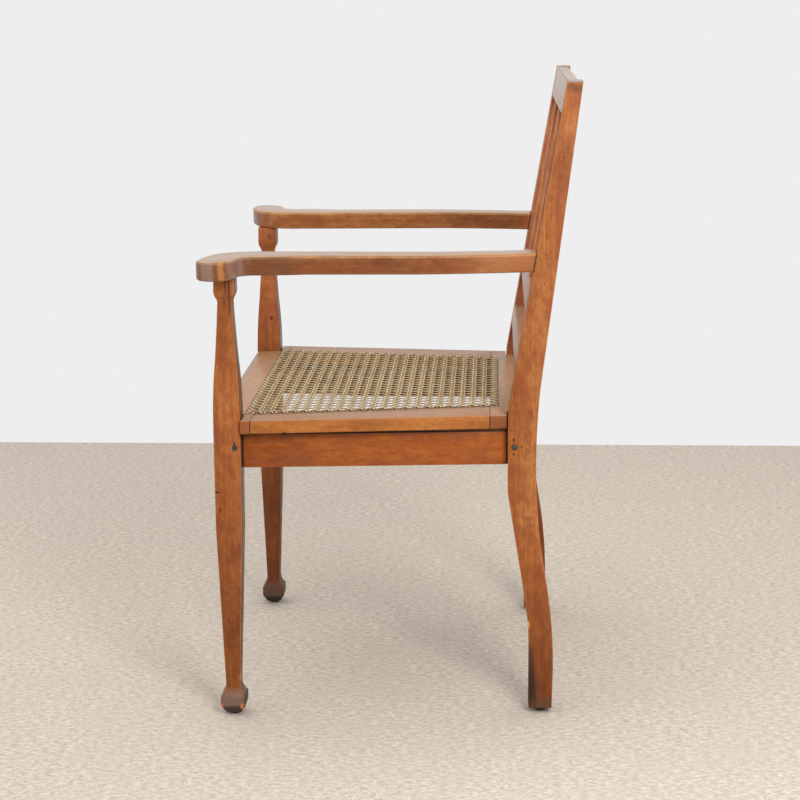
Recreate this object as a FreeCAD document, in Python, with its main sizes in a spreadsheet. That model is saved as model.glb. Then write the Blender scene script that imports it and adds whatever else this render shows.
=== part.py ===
import FreeCAD, Part
import os
import re
import Sketcher
from FreeCAD import Vector

# An armchair with a caned seat, square tapered legs, level arms with scroll grips and a two-slat back.
# Millimetres. X runs across, Y from the front to the back, Z up. The floor is at Z zero and the
# origin is under the middle of the overall box. The sitter's left is at positive X.

# Driving sizes: each name is a cell of the sheet that the document's features are bound to.
sizes = {
    # clearances and overruns
    "tenon_slip": 0.15,
    "tenon_free": 0.5,
    "shoulder_gap": 2.0,
    "notch_gap": 1.5,
    "overrun": 4.0,
    # front legs: at the rails they stand leg_to_post in front of the posts, their feet leg_splay further
    "leg_x": 248.5,
    "leg_to_post": 403.6,
    "leg_wide": 36.0,
    "leg_deep": 39.0,
    "leg_splay": 3.1,
    "leg_tenon_radius": 8.0,
    "leg_tenon_length": 15.0,
    # rear posts
    "post_x": 223.0,
    "post_wide": 34.0,
    "post_top": 930.0,
    "post_top_deep": 20.9,
    "post_elbow_z": 495.0,
    "post_elbow_deep": 39.9,
    "post_waist_deep": 41.0,
    "post_shank_z": 250.0,
    "post_shank_deep": 34.9,
    "post_foot_deep": 36.0,
    "knee_z": 341.0,
    "knee_blend": 6.0,
    "sweep_z": 138.0,
    "sweep_blend": 40.0,
    "heel_z": 69.0,
    "calf_rise": 2.1,
    "foot_kick": 32.3,
    "foot_toe_in": 1.5,
    "back_bend_z": 459.0,
    "back_blend": 8.0,
    "back_run": 80.6,
    # arms, whose noses stand arm_reach in front of the legs
    "arm_top": 691.7,
    "arm_thick": 27.0,
    "arm_reach": 29.0,
    "arm_rear_wide": 40.0,
    "arm_ease": 2.4,
    # the left arm's plan: places out from the chair's middle and back from the nose
    "grip_tip_x": 328.5,
    "grip_front_round": 22.0,
    "grip_back_round": 31.0,
    "grip_notch_round": 24.0,
    "nose_corner_x": 240.0,
    "nose_corner_back": 19.0,
    "palm_x": 218.0,
    "palm_back": 86.0,
    "palm_rise": 7.0,
    "arm_inner_x": 222.0,
    "arm_inner_back": 328.0,
    "arm_inner_rise": 2.5,
    "arm_outer_x": 266.0,
    "arm_neck_back": 151.0,
    "arm_bow_back": 301.0,
    "arm_bow_rise": 3.0,
    "arm_tenon_wide": 12.0,
    "arm_tenon_high": 16.0,
    "arm_tenon_length": 13.0,
    # apron rails
    "rail_high": 55.0,
    "side_rail_thick": 22.0,
    "side_rail_inset_front": 14.0,
    "side_rail_inset_rear": 15.0,
    "front_rail_thick": 22.0,
    "front_rail_inset": 10.0,
    "front_tenon_set_in": 3.5,
    "rear_rail_thick": 20.0,
    "rear_rail_setback": 16.0,
    "rear_tenon_set_in": 6.0,
    "rail_tenon_thick": 8.0,
    "rail_tenon_shoulder": 9.0,
    "rail_tenon_length": 12.0,
    # back rails and slats: the two lower rails' places up the rake from the bend are those of a back
    # as long as back_drawn, and keep their shares of a longer or shorter one
    "back_drawn": 477.85,
    "crest_high": 48.0,
    "mid_rail_low": 141.9,
    "mid_rail_high": 37.5,
    "low_rail_low": 52.9,
    "low_rail_high": 28.5,
    "back_rail_thick": 18.0,
    "back_tenon_thick": 7.0,
    "back_tenon_shoulder": 5.0,
    "back_tenon_length": 14.0,
    "slat_x": 79.0,
    "slat_wide": 48.0,
    "slat_thick": 10.0,
    "slat_set_in": 1.0,
    "slat_tongue_thick": 6.0,
    "slat_tongue_length": 9.0,
    # seat frame
    "seat_top": 455.0,
    "seat_thick": 19.8,
    "seat_front_half": 275.0,
    "seat_rear_half": 233.0,
    "seat_front_member": 54.0,
    "seat_rear_member": 26.0,
    "seat_rear_tail": 36.0,
    "seat_opening_front_half": 220.5,
    "seat_opening_rear_half": 165.0,
    "seat_nose_round": 5.0,
    "seat_tenon_thick": 6.0,
    "seat_tenon_wide": 34.0,
    "seat_tenon_length": 9.0,
    # cane, its holes' row and the binder over them
    "cane_lap": 10.2,
    "cane_thick": 1.6,
    "cane_pitch": 26.5,
    "cane_band": 9.5,
    "cane_cut_share": 0.45,
    "binder_wide": 5.0,
    "binder_thick": 1.2,
    # corner blocks and fasteners
    "block_reach": 40.0,
    "block_high": 34.0,
    "block_cut": 9.0,
    "screw_radius": 2.2,
    "screw_head_radius": 4.2,
    "screw_head_high": 2.6,
    "screw_bite": 11.0,
    "peg_radius": 3.6,
    "peg_length": 32.0,
    "peg_y": 8.5,
    "peg_z": 413.0,
    "bolt_radius": 2.4,
    "bolt_head_radius": 3.6,
    "bolt_head_high": 1.4,
    "bolt_dome_share": 0.5,
    "bolt_length": 30.0,
    "bolt_y": 9.4,
    "bolt_z": 409.5,
    # glides
    "glide_high": 8.0,
    "glide_radius": 9.0,
    "glide_rim": 2.0,
    "glide_pin_radius": 1.5,
    "glide_pin_length": 14.0,
}

# Places worked out from the driving sizes.
postY = "((arm_reach + leg_to_post - back_run - post_top_deep) / 2)"
legY = f"({postY} - leg_to_post)"
noseY = f"({legY} - arm_reach)"
armUnder = "(arm_top - arm_thick)"
seatUnder = "(seat_top - seat_thick)"
railLow = f"({seatUnder} - rail_high)"
railMiddle = f"({seatUnder} - rail_high / 2)"
legSlope = f"(leg_splay / ({railMiddle} - glide_high))"
backRise = "(post_top - back_bend_z)"
backSlope = f"(back_run / {backRise})"
backLength = f"sqrt(back_run^2 + {backRise}^2)"
backScale = f"({backLength} / back_drawn)"
lowRailLow = f"(low_rail_low * {backScale})"
midRailLow = f"(mid_rail_low * {backScale})"
kickSlope = "(foot_kick / (knee_z - sweep_z))"
postInner = "(post_x - post_wide / 2)"

# A front leg's outline from the foot to the arm: shares of its height, of its half width and of the
# half width for the rise of the arc that follows, hollow where negative.
legShares = (
    (0.0, 0.58, 0.0),
    (0.018, 0.95, 0.0),
    (0.041, 0.945, -0.12),
    (0.0745, 0.567, 0.0),
    (0.429, 0.98, 0.0),
    (0.60, 1.0, 0.0),
    (0.673, 1.0, 0.055),
    (0.8116, 0.785, -0.015),
    (0.933, 0.552, -0.06),
    (0.950, 0.68, 0.05),
    (0.9696, 0.775, 0.0),
    (1.0, 0.775, 0.0),
)

sketchAxes = {"XY": (0, 1, 2), "XZ": (0, 2, 1), "YZ": (1, 2, 0)}
sideNames = {1: "left", -1: "right"}
bases = {}
pockets = []
touching = 0.15
leastCut = 0.15

doc = FreeCAD.newDocument("armchair")
sheet = doc.addObject("Spreadsheet::Sheet", "Sizes")


def fillSheet():
    for row, (name, size) in enumerate(sizes.items(), start=1):
        sheet.set(f"A{row}", name)
        sheet.set(f"B{row}", str(size))
        sheet.setAlias(f"B{row}", name)
    doc.recompute()


def value(expression):
    return float(sheet.evalExpression(expression))


def bound(expression):
    # the expression with the sheet's name before each of its sizes
    def named(word):
        return f"Sizes.{word.group()}" if word.group() in sizes else word.group()

    return re.sub(r"[a-z_]+", named, expression)


def rectangle(lowX, highX, lowY, highY):
    return [(lowX, lowY, ""), (highX, lowY, ""), (highX, highY, ""), (lowX, highY, "")]


def mirrored(corners, middle="0"):
    # the outline on the other side of the middle line, still anticlockwise
    order = reversed(range(len(corners)))
    return [(f"2 * {middle} - ({corners[i][0]})", corners[i][1], corners[i - 1][2]) for i in order]


def sidedSpan(low, high, side):
    return (low, high) if side > 0 else (f"-({high})", f"-({low})")


def arcRadius(start, end, rise):
    chord = f"(({end[0]}) - ({start[0]}))^2 + (({end[1]}) - ({start[1]}))^2"
    return f"({chord}) / (8 * abs({rise})) + abs({rise}) / 2"


def addArc(sketch, first, last, rise):
    # an arc that stands out to the right of the way from first to last, or to the left where negative
    middle = (first + last) / 2
    along = last - first
    right = Vector(along.y, -along.x, 0).normalize()
    return sketch.addGeometry(Part.Arc(first, middle + right * rise, last))


def pinSpot(sketch, edge, spot, corner):
    for axis, expression in (("DistanceX", corner[0]), ("DistanceY", corner[1])):
        pin = sketch.addConstraint(Sketcher.Constraint(axis, -1, 1, edge, spot, value(expression)))
        sketch.setExpression(f"Constraints[{pin}]", bound(expression))


def drawOutline(sketch, corners):
    # lines and arcs from corner to corner, each end pinned to the sheet's sizes
    spots = [Vector(value(corner[0]), value(corner[1]), 0) for corner in corners]
    ends = []
    for index, corner in enumerate(corners):
        follower = (index + 1) % len(corners)
        if corner[2]:
            rise = value(corner[2])
            edge = addArc(sketch, spots[index], spots[follower], rise)
            starts = [(sketch.getPoint(edge, spot) - spots[index]).Length for spot in (1, 2)]
            turned = starts[0] > starts[1]
            radius = arcRadius(corner, corners[follower], corner[2])
            arc = sketch.addConstraint(Sketcher.Constraint("Radius", edge, value(radius)))
            sketch.setExpression(f"Constraints[{arc}]", bound(radius))
            ends.append((edge, 2, 1) if turned else (edge, 1, 2))
        else:
            edge = sketch.addGeometry(Part.LineSegment(spots[index], spots[follower]))
            ends.append((edge, 1, 2))
    for index, (edge, start, finish) in enumerate(ends):
        before, beforeStart, beforeFinish = ends[index - 1]
        sketch.addConstraint(Sketcher.Constraint("Coincident", before, beforeFinish, edge, start))
        pinSpot(sketch, edge, start, corners[index])


def drawRound(sketch, centre, radius):
    middle = Vector(value(centre[0]), value(centre[1]), 0)
    edge = sketch.addGeometry(Part.Circle(middle, Vector(0, 0, 1), value(radius)))
    pinSpot(sketch, edge, 3, centre)
    size = sketch.addConstraint(Sketcher.Constraint("Radius", edge, value(radius)))
    sketch.setExpression(f"Constraints[{size}]", bound(radius))


def newBody(label, *base):
    body = doc.addObject("PartDesign::Body", label)
    body.Label = label
    bases[body.Name] = base
    for axis, expression in zip("xyz", base):
        body.setExpression(f".Placement.Base.{axis}", bound(expression))
    return body


def newSketch(body, plane, start):
    sketch = body.newObject("Sketcher::SketchObject", f"{body.Label}_sketch")
    origin = [item for item in body.Origin.OriginFeatures if item.Role == f"{plane}_Plane"][0]
    sketch.AttachmentSupport = (origin, "")
    sketch.MapMode = "FlatFace"
    sketch.setExpression(".AttachmentOffset.Base.z", bound(start))
    return sketch


def inBody(body, plane, spot):
    # a place in the chair's frame, given in the body's own
    first, second, normal = sketchAxes[plane]
    base = bases[body.Name]
    return (f"({spot[0]}) - ({base[first]})", f"({spot[1]}) - ({base[second]})", *spot[2:])


def prism(body, kind, plane, outlines, low, high, radius=""):
    # a straight block between two heights over a plane: an outline, or a round where a radius is given
    base = bases[body.Name][sketchAxes[plane][2]]
    start = f"({low}) - ({base})" if plane != "XZ" else f"({base}) - ({high})"
    sketch = newSketch(body, plane, start)
    if radius:
        drawRound(sketch, inBody(body, plane, outlines), radius)
    else:
        for outline in outlines:
            drawOutline(sketch, [inBody(body, plane, corner) for corner in outline])
    feature = body.newObject(f"PartDesign::{kind}", f"{body.Label}_{kind}")
    feature.Profile = sketch
    feature.setExpression("Length", bound(f"({high}) - ({low})"))
    feature.Reversed = kind == "Pocket"
    sketch.Visibility = False
    if kind == "Pocket":
        pockets.append((body, feature))
    return feature


def boxPad(body, box):
    lowX, highX, lowY, highY, lowZ, highZ = box
    return prism(body, "Pad", "XY", [rectangle(lowX, highX, lowY, highY)], lowZ, highZ)


def mortise(body, box):
    # the hole for a tenon's box, wider by the slip all round
    grown = [f"({size}) {'+' if index % 2 else '-'} tenon_slip" for index, size in enumerate(box)]
    lowX, highX, lowY, highY, lowZ, highZ = grown
    return prism(body, "Pocket", "XY", [rectangle(lowX, highX, lowY, highY)], lowZ, highZ)


def dressEdges(body, wanted, kind, size):
    # rounds or chamfers the edges that the test picks by their middle points, in the chair's frame
    doc.recompute()
    previous = body.Tip
    shape = previous.Shape
    base = Vector(*[value(expression) for expression in bases[body.Name]])
    names = []
    for index, edge in enumerate(shape.Edges, start=1):
        middle = edge.valueAt((edge.FirstParameter + edge.LastParameter) / 2) + base
        if wanted(middle):
            names.append(f"Edge{index}")
    dress = body.newObject(f"PartDesign::{kind}", f"{body.Label}_{kind}")
    dress.Base = (previous, names)
    dress.setExpression("Radius" if kind == "Fillet" else "Size", bound(size))


def leaning(z):
    # the place of a front leg's middle line at a height: the top leans back, the foot stands forward
    return f"({legY} + {legSlope} * (({z}) - {railMiddle}))"


def legOutline(middleAt, half):
    # both edges about the middle line, up the one and down the other
    rising = []
    falling = []
    riseBelow = ""
    for heightShare, widthShare, riseShare in legShares:
        height = f"glide_high + {heightShare} * ({armUnder} - glide_high)"
        rise = f"{riseShare} * {half}" if riseShare else ""
        rising.append((f"{middleAt(height)} + {widthShare} * {half}", height, rise))
        falling.insert(0, (f"{middleAt(height)} - {widthShare} * {half}", height, riseBelow))
        riseBelow = rise
    return rising + falling


def sideRailEdge(y, inward="0"):
    # how far out a side rail's outer face stands at a place along its length
    frontX = "(leg_x + leg_wide / 2 - side_rail_inset_front)"
    rearX = "(post_x + post_wide / 2 - side_rail_inset_rear)"
    share = f"((({y}) - {legY}) / leg_to_post)"
    return f"({frontX} + ({rearX} - {frontX}) * {share} - ({inward}))"


def seatEdge(y, frontHalf, rearHalf):
    share = f"((({y}) - {legY} - leg_deep / 2) / (leg_to_post - leg_deep / 2))"
    return f"({frontHalf} + ({rearHalf} - {frontHalf}) * {share})"


railFrontY = f"({legY} + leg_deep / 2 + shoulder_gap)"
railRearY = f"({postY} - shoulder_gap)"
tenonLow = f"({railLow} + rail_tenon_shoulder)"
tenonHigh = f"({seatUnder} - rail_tenon_shoulder)"
frontRailY = f"({legY} - leg_deep / 2 + front_rail_inset)"
rearRailY = f"({postY} + rear_rail_setback)"


def sideTenon(end):
    # the box of the left side rail's tenon at its front or rear end
    if end == "front":
        middle = sideRailEdge(railFrontY, "side_rail_thick / 2")
        low, high = f"{railFrontY} - shoulder_gap - rail_tenon_length", f"{railFrontY} + overrun"
    else:
        middle = sideRailEdge(railRearY, "side_rail_thick / 2")
        low, high = f"{railRearY} - overrun", f"{railRearY} + shoulder_gap + rail_tenon_length"
    half = "rail_tenon_thick / 2"
    return [f"{middle} - {half}", f"{middle} + {half}", low, high, tenonLow, tenonHigh]


def crossTenon(shoulder, faceY, side):
    # the box of a front or rear rail's tenon beyond its shoulder
    lowX, highX = sidedSpan(shoulder, f"{shoulder} + rail_tenon_length", side)
    return [lowX, highX, faceY, f"{faceY} + rail_tenon_thick", tenonLow, tenonHigh]


legInner = "(leg_x - leg_wide / 2)"
frontTenonY = f"({frontRailY} + front_tenon_set_in)"
rearTenonY = f"({rearRailY} + rear_tenon_set_in)"


legTopY = leaning(armUnder)
legFootY = leaning("glide_high")


def frontLeg():
    # sawn to the same tapered outline from the side and from the front
    body = newBody("front_leg_left", "leg_x", legY, "0")
    outline = legOutline(leaning, "leg_deep / 2")
    prism(body, "Pad", "YZ", [outline], "leg_x - leg_wide / 2", "leg_x + leg_wide / 2")
    around = rectangle("leg_x - leg_wide", "leg_x + leg_wide", "glide_high - overrun", f"{armUnder} + overrun")
    cutter = [around, legOutline(lambda z: "leg_x", "leg_wide / 2")]
    prism(body, "Pocket", "XZ", cutter, f"{legY} - leg_deep", f"{legY} + leg_deep")
    prism(body, "Pad", "XY", ("leg_x", legTopY), armUnder, f"{armUnder} + leg_tenon_length", "leg_tenon_radius")
    mortise(body, sideTenon("front"))
    mortise(body, crossTenon(legInner, frontTenonY, 1))
    pegHole(body)
    glideHole(body, ("leg_x", legFootY))


pegY = f"({legY} + leg_deep / 2 - peg_y)"
boltY = f"({postY} + bolt_y)"


def pegHole(body):
    outer = "leg_x + leg_wide / 2"
    prism(body, "Pocket", "YZ", (pegY, "peg_z"), f"{outer} - peg_length", f"{outer} + overrun",
          "peg_radius + tenon_slip")


def boltHole(body):
    outer = "post_x + post_wide / 2"
    prism(body, "Pocket", "YZ", (boltY, "bolt_z"), f"{outer} - bolt_length", f"{outer} + overrun",
          "bolt_radius + tenon_slip")


def glideHole(body, centre):
    prism(body, "Pocket", "XY", centre, "glide_high - overrun", "glide_high + glide_pin_length + tenon_free",
          "glide_pin_radius + tenon_slip")


def postFront(z):
    # the front face's place at a height above the bend or below the knee
    return f"({postY} + {backSlope} * (({z}) - back_bend_z))"


def shinFront(z):
    return f"({postY} + {kickSlope} * (knee_z - ({z})))"


def blendRise(slope, reach):
    # the rise of an arc from an upright line to a sloping one, each left at the same reach from the bend
    return f"{slope} * {reach} / 4"


def postOutline():
    footY = f"({postY} + foot_kick)"
    shankZ = "post_shank_z"
    shankY = f"({shinFront(shankZ)} + post_shank_deep)"
    elbowY = f"({postFront('post_elbow_z')} + post_elbow_deep)"
    calfZ = "(sweep_z + sweep_blend)"
    waistRise = f"({postY} + post_waist_deep - ({shankY} + {elbowY}) / 2)"
    return [
        (footY, "glide_high", ""),
        (f"{footY} + post_foot_deep - foot_toe_in", "glide_high", ""),
        (f"{footY} + post_foot_deep", "heel_z", "calf_rise"),
        (f"{shinFront(calfZ)} + post_shank_deep", calfZ, ""),
        (shankY, shankZ, waistRise),
        (elbowY, "post_elbow_z", ""),
        (f"{postY} + back_run + post_top_deep", "post_top", ""),
        (f"{postY} + back_run", "post_top", ""),
        (postFront("back_bend_z + back_blend"), "back_bend_z + back_blend", blendRise(backSlope, "back_blend")),
        (postY, "back_bend_z - back_blend", ""),
        (postY, "knee_z + knee_blend", blendRise(kickSlope, "knee_blend")),
        (shinFront("knee_z - knee_blend"), "knee_z - knee_blend", ""),
        (shinFront(calfZ), calfZ, blendRise(f"-{kickSlope}", "sweep_blend")),
        (footY, "sweep_z - sweep_blend", ""),
    ]


def backSpot(along, deep):
    # a place in the back's plane: along the rake from the bend, and behind the posts' front faces
    y = f"{postY} + (({along}) * back_run + ({deep}) * {backRise}) / {backLength}"
    z = f"back_bend_z + (({along}) * {backRise} - ({deep}) * back_run) / {backLength}"
    return (y, z, "")


def backBlock(low, high, near, far):
    return [backSpot(low, near), backSpot(low, far), backSpot(high, far), backSpot(high, near)]


crestLow = f"({backLength} - crest_high)"
backRails = {
    "lower_back_rail": (lowRailLow, f"({lowRailLow} + low_rail_high)"),
    "mid_back_rail": (midRailLow, f"({midRailLow} + mid_rail_high)"),
    "crest_rail": (crestLow, backLength),
}


def backTenon(low, high, spare=""):
    # the tilted outline of a back rail's tenon, or of its mortise where a slip is given
    near = "(back_rail_thick - back_tenon_thick) / 2"
    far = f"{near} + back_tenon_thick"
    grown = spare or "0"
    lowEnd = f"{low} + back_tenon_shoulder - {grown}"
    highEnd = f"{high} - back_tenon_shoulder + {grown}"
    return backBlock(lowEnd, highEnd, f"{near} - {grown}", f"{far} + {grown}")


def armTenon():
    lowX, highX = "post_x - arm_tenon_wide / 2", "post_x + arm_tenon_wide / 2"
    middle = f"({armUnder} + arm_thick / 2)"
    low, high = f"{middle} - arm_tenon_high / 2", f"{middle} + arm_tenon_high / 2"
    return [lowX, highX, f"{postFront(low)} - overrun", f"{postFront(middle)} + arm_tenon_length", low, high]


def rearPost():
    # one sawn piece from the foot to the crest, with the joints' holes in its front and inner faces
    body = newBody("rear_post_left", "post_x", postY, "0")
    prism(body, "Pad", "YZ", [postOutline()], "post_x - post_wide / 2", "post_x + post_wide / 2")
    reach = f"{postInner} + back_tenon_length + tenon_free"
    for low, high in backRails.values():
        prism(body, "Pocket", "YZ", [backTenon(low, high, "tenon_slip")], f"{postInner} - overrun", reach)
    mortise(body, sideTenon("rear"))
    mortise(body, crossTenon(postInner, rearTenonY, 1))
    mortise(body, armTenon())
    boltHole(body)
    glideHole(body, ("post_x", footMiddleY))


footMiddleY = f"({postY} + foot_kick + (post_foot_deep - foot_toe_in) / 2)"
armRearY = postFront("arm_top")


def quarterRise(radius):
    return f"{radius} * (1 - sqrt(0.5))"


def tangentRise(along, across):
    # the rise of an arc that sets out along the first of its chord's two parts
    radius = f"((({along})^2 + ({across})^2) / (2 * ({across})))"
    return f"{radius} - sqrt({radius}^2 - (({along})^2 + ({across})^2) / 4)"


def armOutline():
    # from the inner corner of the nose anticlockwise, round the grip's lobe and its notch
    lobeX = "(grip_tip_x - grip_back_round - grip_notch_round)"
    lobeBack = "(grip_front_round + grip_back_round + grip_notch_round)"
    noseWide = "(grip_tip_x - grip_front_round - nose_corner_x)"
    lobeEnd = "grip_front_round + grip_back_round"
    plan = [
        ("nose_corner_x", "nose_corner_back", tangentRise(noseWide, "nose_corner_back")),
        ("grip_tip_x - grip_front_round", "0", quarterRise("grip_front_round")),
        ("grip_tip_x", "grip_front_round", quarterRise("grip_back_round")),
        ("grip_tip_x - grip_back_round", lobeEnd, f"-{quarterRise('grip_notch_round')}"),
        (lobeX, lobeBack, tangentRise(f"arm_neck_back - {lobeBack}", f"{lobeX} - arm_outer_x")),
        ("arm_outer_x", "arm_neck_back", ""),
        ("arm_outer_x", "arm_bow_back", "arm_bow_rise"),
        ("post_x + arm_rear_wide / 2", f"{armRearY} - {noseY}", ""),
        ("post_x - arm_rear_wide / 2", f"{armRearY} - {noseY}", "-arm_inner_rise"),
        ("arm_inner_x", "arm_inner_back", ""),
        ("palm_x", "palm_back", "palm_rise"),
    ]
    return [(x, f"{noseY} + {back}", rise) for x, back, rise in plan]


def arm():
    # a level board sawn to its plan, with rounded edges and a rear end cut to the posts' rake
    body = newBody("arm_left", "post_x", noseY, armUnder)
    prism(body, "Pad", "XY", [armOutline()], armUnder, "arm_top")
    wedge = [
        (postFront(armUnder + " - overrun"), f"{armUnder} - overrun", ""),
        (f"{armRearY} + overrun", f"{armUnder} - overrun", ""),
        (f"{armRearY} + overrun", "arm_top + overrun", ""),
        (postFront("arm_top + overrun"), "arm_top + overrun", ""),
    ]
    prism(body, "Pocket", "YZ", [wedge], "post_x - arm_rear_wide", "post_x + arm_rear_wide")
    tail = value(postFront(armUnder)) - touching
    for face in ("arm_top", armUnder):
        height = value(face)
        dressEdges(body, lambda spot: abs(spot.z - height) < touching and spot.y < tail, "Chamfer", "arm_ease")
    boxPad(body, armTenon())
    prism(body, "Pocket", "XY", ("leg_x", legTopY), f"{armUnder} - overrun",
          f"{armUnder} + leg_tenon_length + tenon_free", "leg_tenon_radius + tenon_slip")


def sideRail():
    body = newBody("side_rail_left", "post_x", postY, railLow)
    corners = [
        (sideRailEdge(railFrontY, "side_rail_thick"), railFrontY, ""),
        (sideRailEdge(railFrontY), railFrontY, ""),
        (sideRailEdge(railRearY), railRearY, ""),
        (sideRailEdge(railRearY, "side_rail_thick"), railRearY, ""),
    ]
    prism(body, "Pad", "XY", [corners], railLow, seatUnder)
    boxPad(body, sideTenon("front"))
    boxPad(body, sideTenon("rear"))
    pegHole(body)
    boltHole(body)


def crossRail(label, shoulder, faceY, thick, tenonY):
    body = newBody(label, "0", faceY, railLow)
    boxPad(body, [f"-{shoulder}", shoulder, faceY, f"{faceY} + {thick}", railLow, seatUnder])
    for side in (1, -1):
        tenon = crossTenon(f"{shoulder} - overrun", tenonY, side)
        tenon[1 if side > 0 else 0] = f"{side} * ({shoulder} + rail_tenon_length)"
        boxPad(body, tenon)


def backRail(label, low, high):
    body = newBody(label, "0", postY, "back_bend_z")
    outline = backBlock(low, high, "0", "back_rail_thick")
    prism(body, "Pad", "YZ", [outline], f"-{postInner}", postInner)
    reach = f"({postInner} + back_tenon_length)"
    prism(body, "Pad", "YZ", [backTenon(low, high)], f"-{reach}", reach)
    for side in (1, -1):
        if label == "mid_back_rail":
            slatMortise(body, side, high, -1)
        if label == "crest_rail":
            slatMortise(body, side, low, 1)


slatNear = "slat_set_in"
slatFar = "(slat_set_in + slat_thick)"
tongueNear = "(slat_set_in + (slat_thick - slat_tongue_thick) / 2)"
tongueFar = f"({tongueNear} + slat_tongue_thick)"
slatLow = f"({midRailLow} + mid_rail_high)"


def slatMortise(body, side, edge, into):
    depth = f"{into} * (slat_tongue_length + tenon_free)"
    ends = sorted((f"{edge} + {depth}", f"{edge} - {into} * overrun"), key=value)
    slot = backBlock(ends[0], ends[1], f"{tongueNear} - tenon_slip", f"{tongueFar} + tenon_slip")
    half = "(slat_wide / 2 + tenon_slip)"
    prism(body, "Pocket", "YZ", [slot], f"{side} * slat_x - {half}", f"{side} * slat_x + {half}")


def backSlat():
    body = newBody("back_slat_left", "slat_x", postY, "back_bend_z")
    outline = [
        backSpot(slatLow, slatNear),
        backSpot(slatLow, tongueNear),
        backSpot(f"{slatLow} - slat_tongue_length", tongueNear),
        backSpot(f"{slatLow} - slat_tongue_length", tongueFar),
        backSpot(slatLow, tongueFar),
        backSpot(slatLow, slatFar),
        backSpot(crestLow, slatFar),
        backSpot(crestLow, tongueFar),
        backSpot(f"{crestLow} + slat_tongue_length", tongueFar),
        backSpot(f"{crestLow} + slat_tongue_length", tongueNear),
        backSpot(crestLow, tongueNear),
        backSpot(crestLow, slatNear),
    ]
    prism(body, "Pad", "YZ", [outline], "slat_x - slat_wide / 2", "slat_x + slat_wide / 2")


seatNoseY = f"({legY} - leg_deep / 2)"
openingFrontY = f"({seatNoseY} + seat_front_member)"
openingRearY = f"({postY} - seat_rear_member)"
legBackY = f"({legY} + leg_deep / 2 + notch_gap)"
postFaceY = f"({postY} - notch_gap)"


def outerEdge(y):
    return seatEdge(y, "seat_front_half", "seat_rear_half")


def openingEdge(y):
    share = f"((({y}) - {openingFrontY}) / ({openingRearY} - {openingFrontY}))"
    return f"(seat_opening_front_half + (seat_opening_rear_half - seat_opening_front_half) * {share})"


def seatTenon(end, side):
    # a side member's tenon, centred on its end; the front one runs out towards the leg's notch
    atFront = end == "front"
    y = openingFrontY if atFront else openingRearY
    middle = f"(({outerEdge(y)} + {openingEdge(y)}) / 2)"
    lowX, highX = sidedSpan(f"{middle} - seat_tenon_wide / 2", f"{middle} + seat_tenon_wide / 2", side)
    low = f"{y} - seat_tenon_length" if atFront else f"{y} - overrun"
    high = f"{y} + overrun" if atFront else f"{y} + seat_tenon_length"
    middleZ = f"({seatUnder} + seat_thick / 2)"
    return [lowX, highX, low, high, f"{middleZ} - seat_tenon_thick / 2", f"{middleZ} + seat_tenon_thick / 2"]


def seatFront():
    body = newBody("seat_frame_front", "0", seatNoseY, seatUnder)
    notchX = f"({legInner} - notch_gap)"
    half = [
        (notchX, seatNoseY, ""),
        (notchX, legBackY, ""),
        (outerEdge(legBackY), legBackY, ""),
        (outerEdge(openingFrontY), openingFrontY, ""),
    ]
    prism(body, "Pad", "XY", [half + mirrored(half)], seatUnder, "seat_top")
    nose = value(seatNoseY)
    dressEdges(body, lambda spot: abs(spot.y - nose) < touching and abs(spot.x) < value("leg_wide"),
               "Fillet", "seat_nose_round")
    for side in (1, -1):
        mortise(body, seatTenon("front", side))


def seatRear():
    body = newBody("seat_frame_rear", "0", openingRearY, seatUnder)
    notchX = f"({postInner} - notch_gap)"
    tailY = f"({postY} + seat_rear_tail)"
    half = [
        (notchX, tailY, ""),
        (notchX, postFaceY, ""),
        (outerEdge(postFaceY), postFaceY, ""),
        (outerEdge(openingRearY), openingRearY, ""),
    ]
    turned = mirrored(half)
    prism(body, "Pad", "XY", [turned + half], seatUnder, "seat_top")
    for side in (1, -1):
        mortise(body, seatTenon("rear", side))


def seatSide():
    body = newBody("seat_frame_left", "seat_front_half", openingFrontY, seatUnder)
    corners = [
        (openingEdge(openingFrontY), openingFrontY, ""),
        (outerEdge(openingFrontY), openingFrontY, ""),
        (outerEdge(openingRearY), openingRearY, ""),
        (openingEdge(openingRearY), openingRearY, ""),
    ]
    prism(body, "Pad", "XY", [corners], seatUnder, "seat_top")
    boxPad(body, seatTenon("front", 1))
    boxPad(body, seatTenon("rear", 1))


def caneOutline(inward):
    lowY = f"{openingFrontY} - cane_lap + ({inward})"
    highY = f"{openingRearY} + cane_lap - ({inward})"
    right = [
        (f"{openingEdge(lowY)} + cane_lap - ({inward})", lowY, ""),
        (f"{openingEdge(highY)} + cane_lap - ({inward})", highY, ""),
    ]
    return right + mirrored(right)


def polygonWire(corners, height):
    spots = [Vector(x, y, height) for x, y in corners]
    return Part.makePolygon(spots + spots[:1])


def netHole(x, y, across):
    # an eight-sided gap of the net
    corner = across / 2
    cut = corner * value("cane_cut_share")
    near = [(corner, -cut), (corner, cut), (cut, corner), (-cut, corner)]
    far = [(-a, -b) for a, b in near]
    return [(x + a, y + b) for a, b in near + far]


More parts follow.
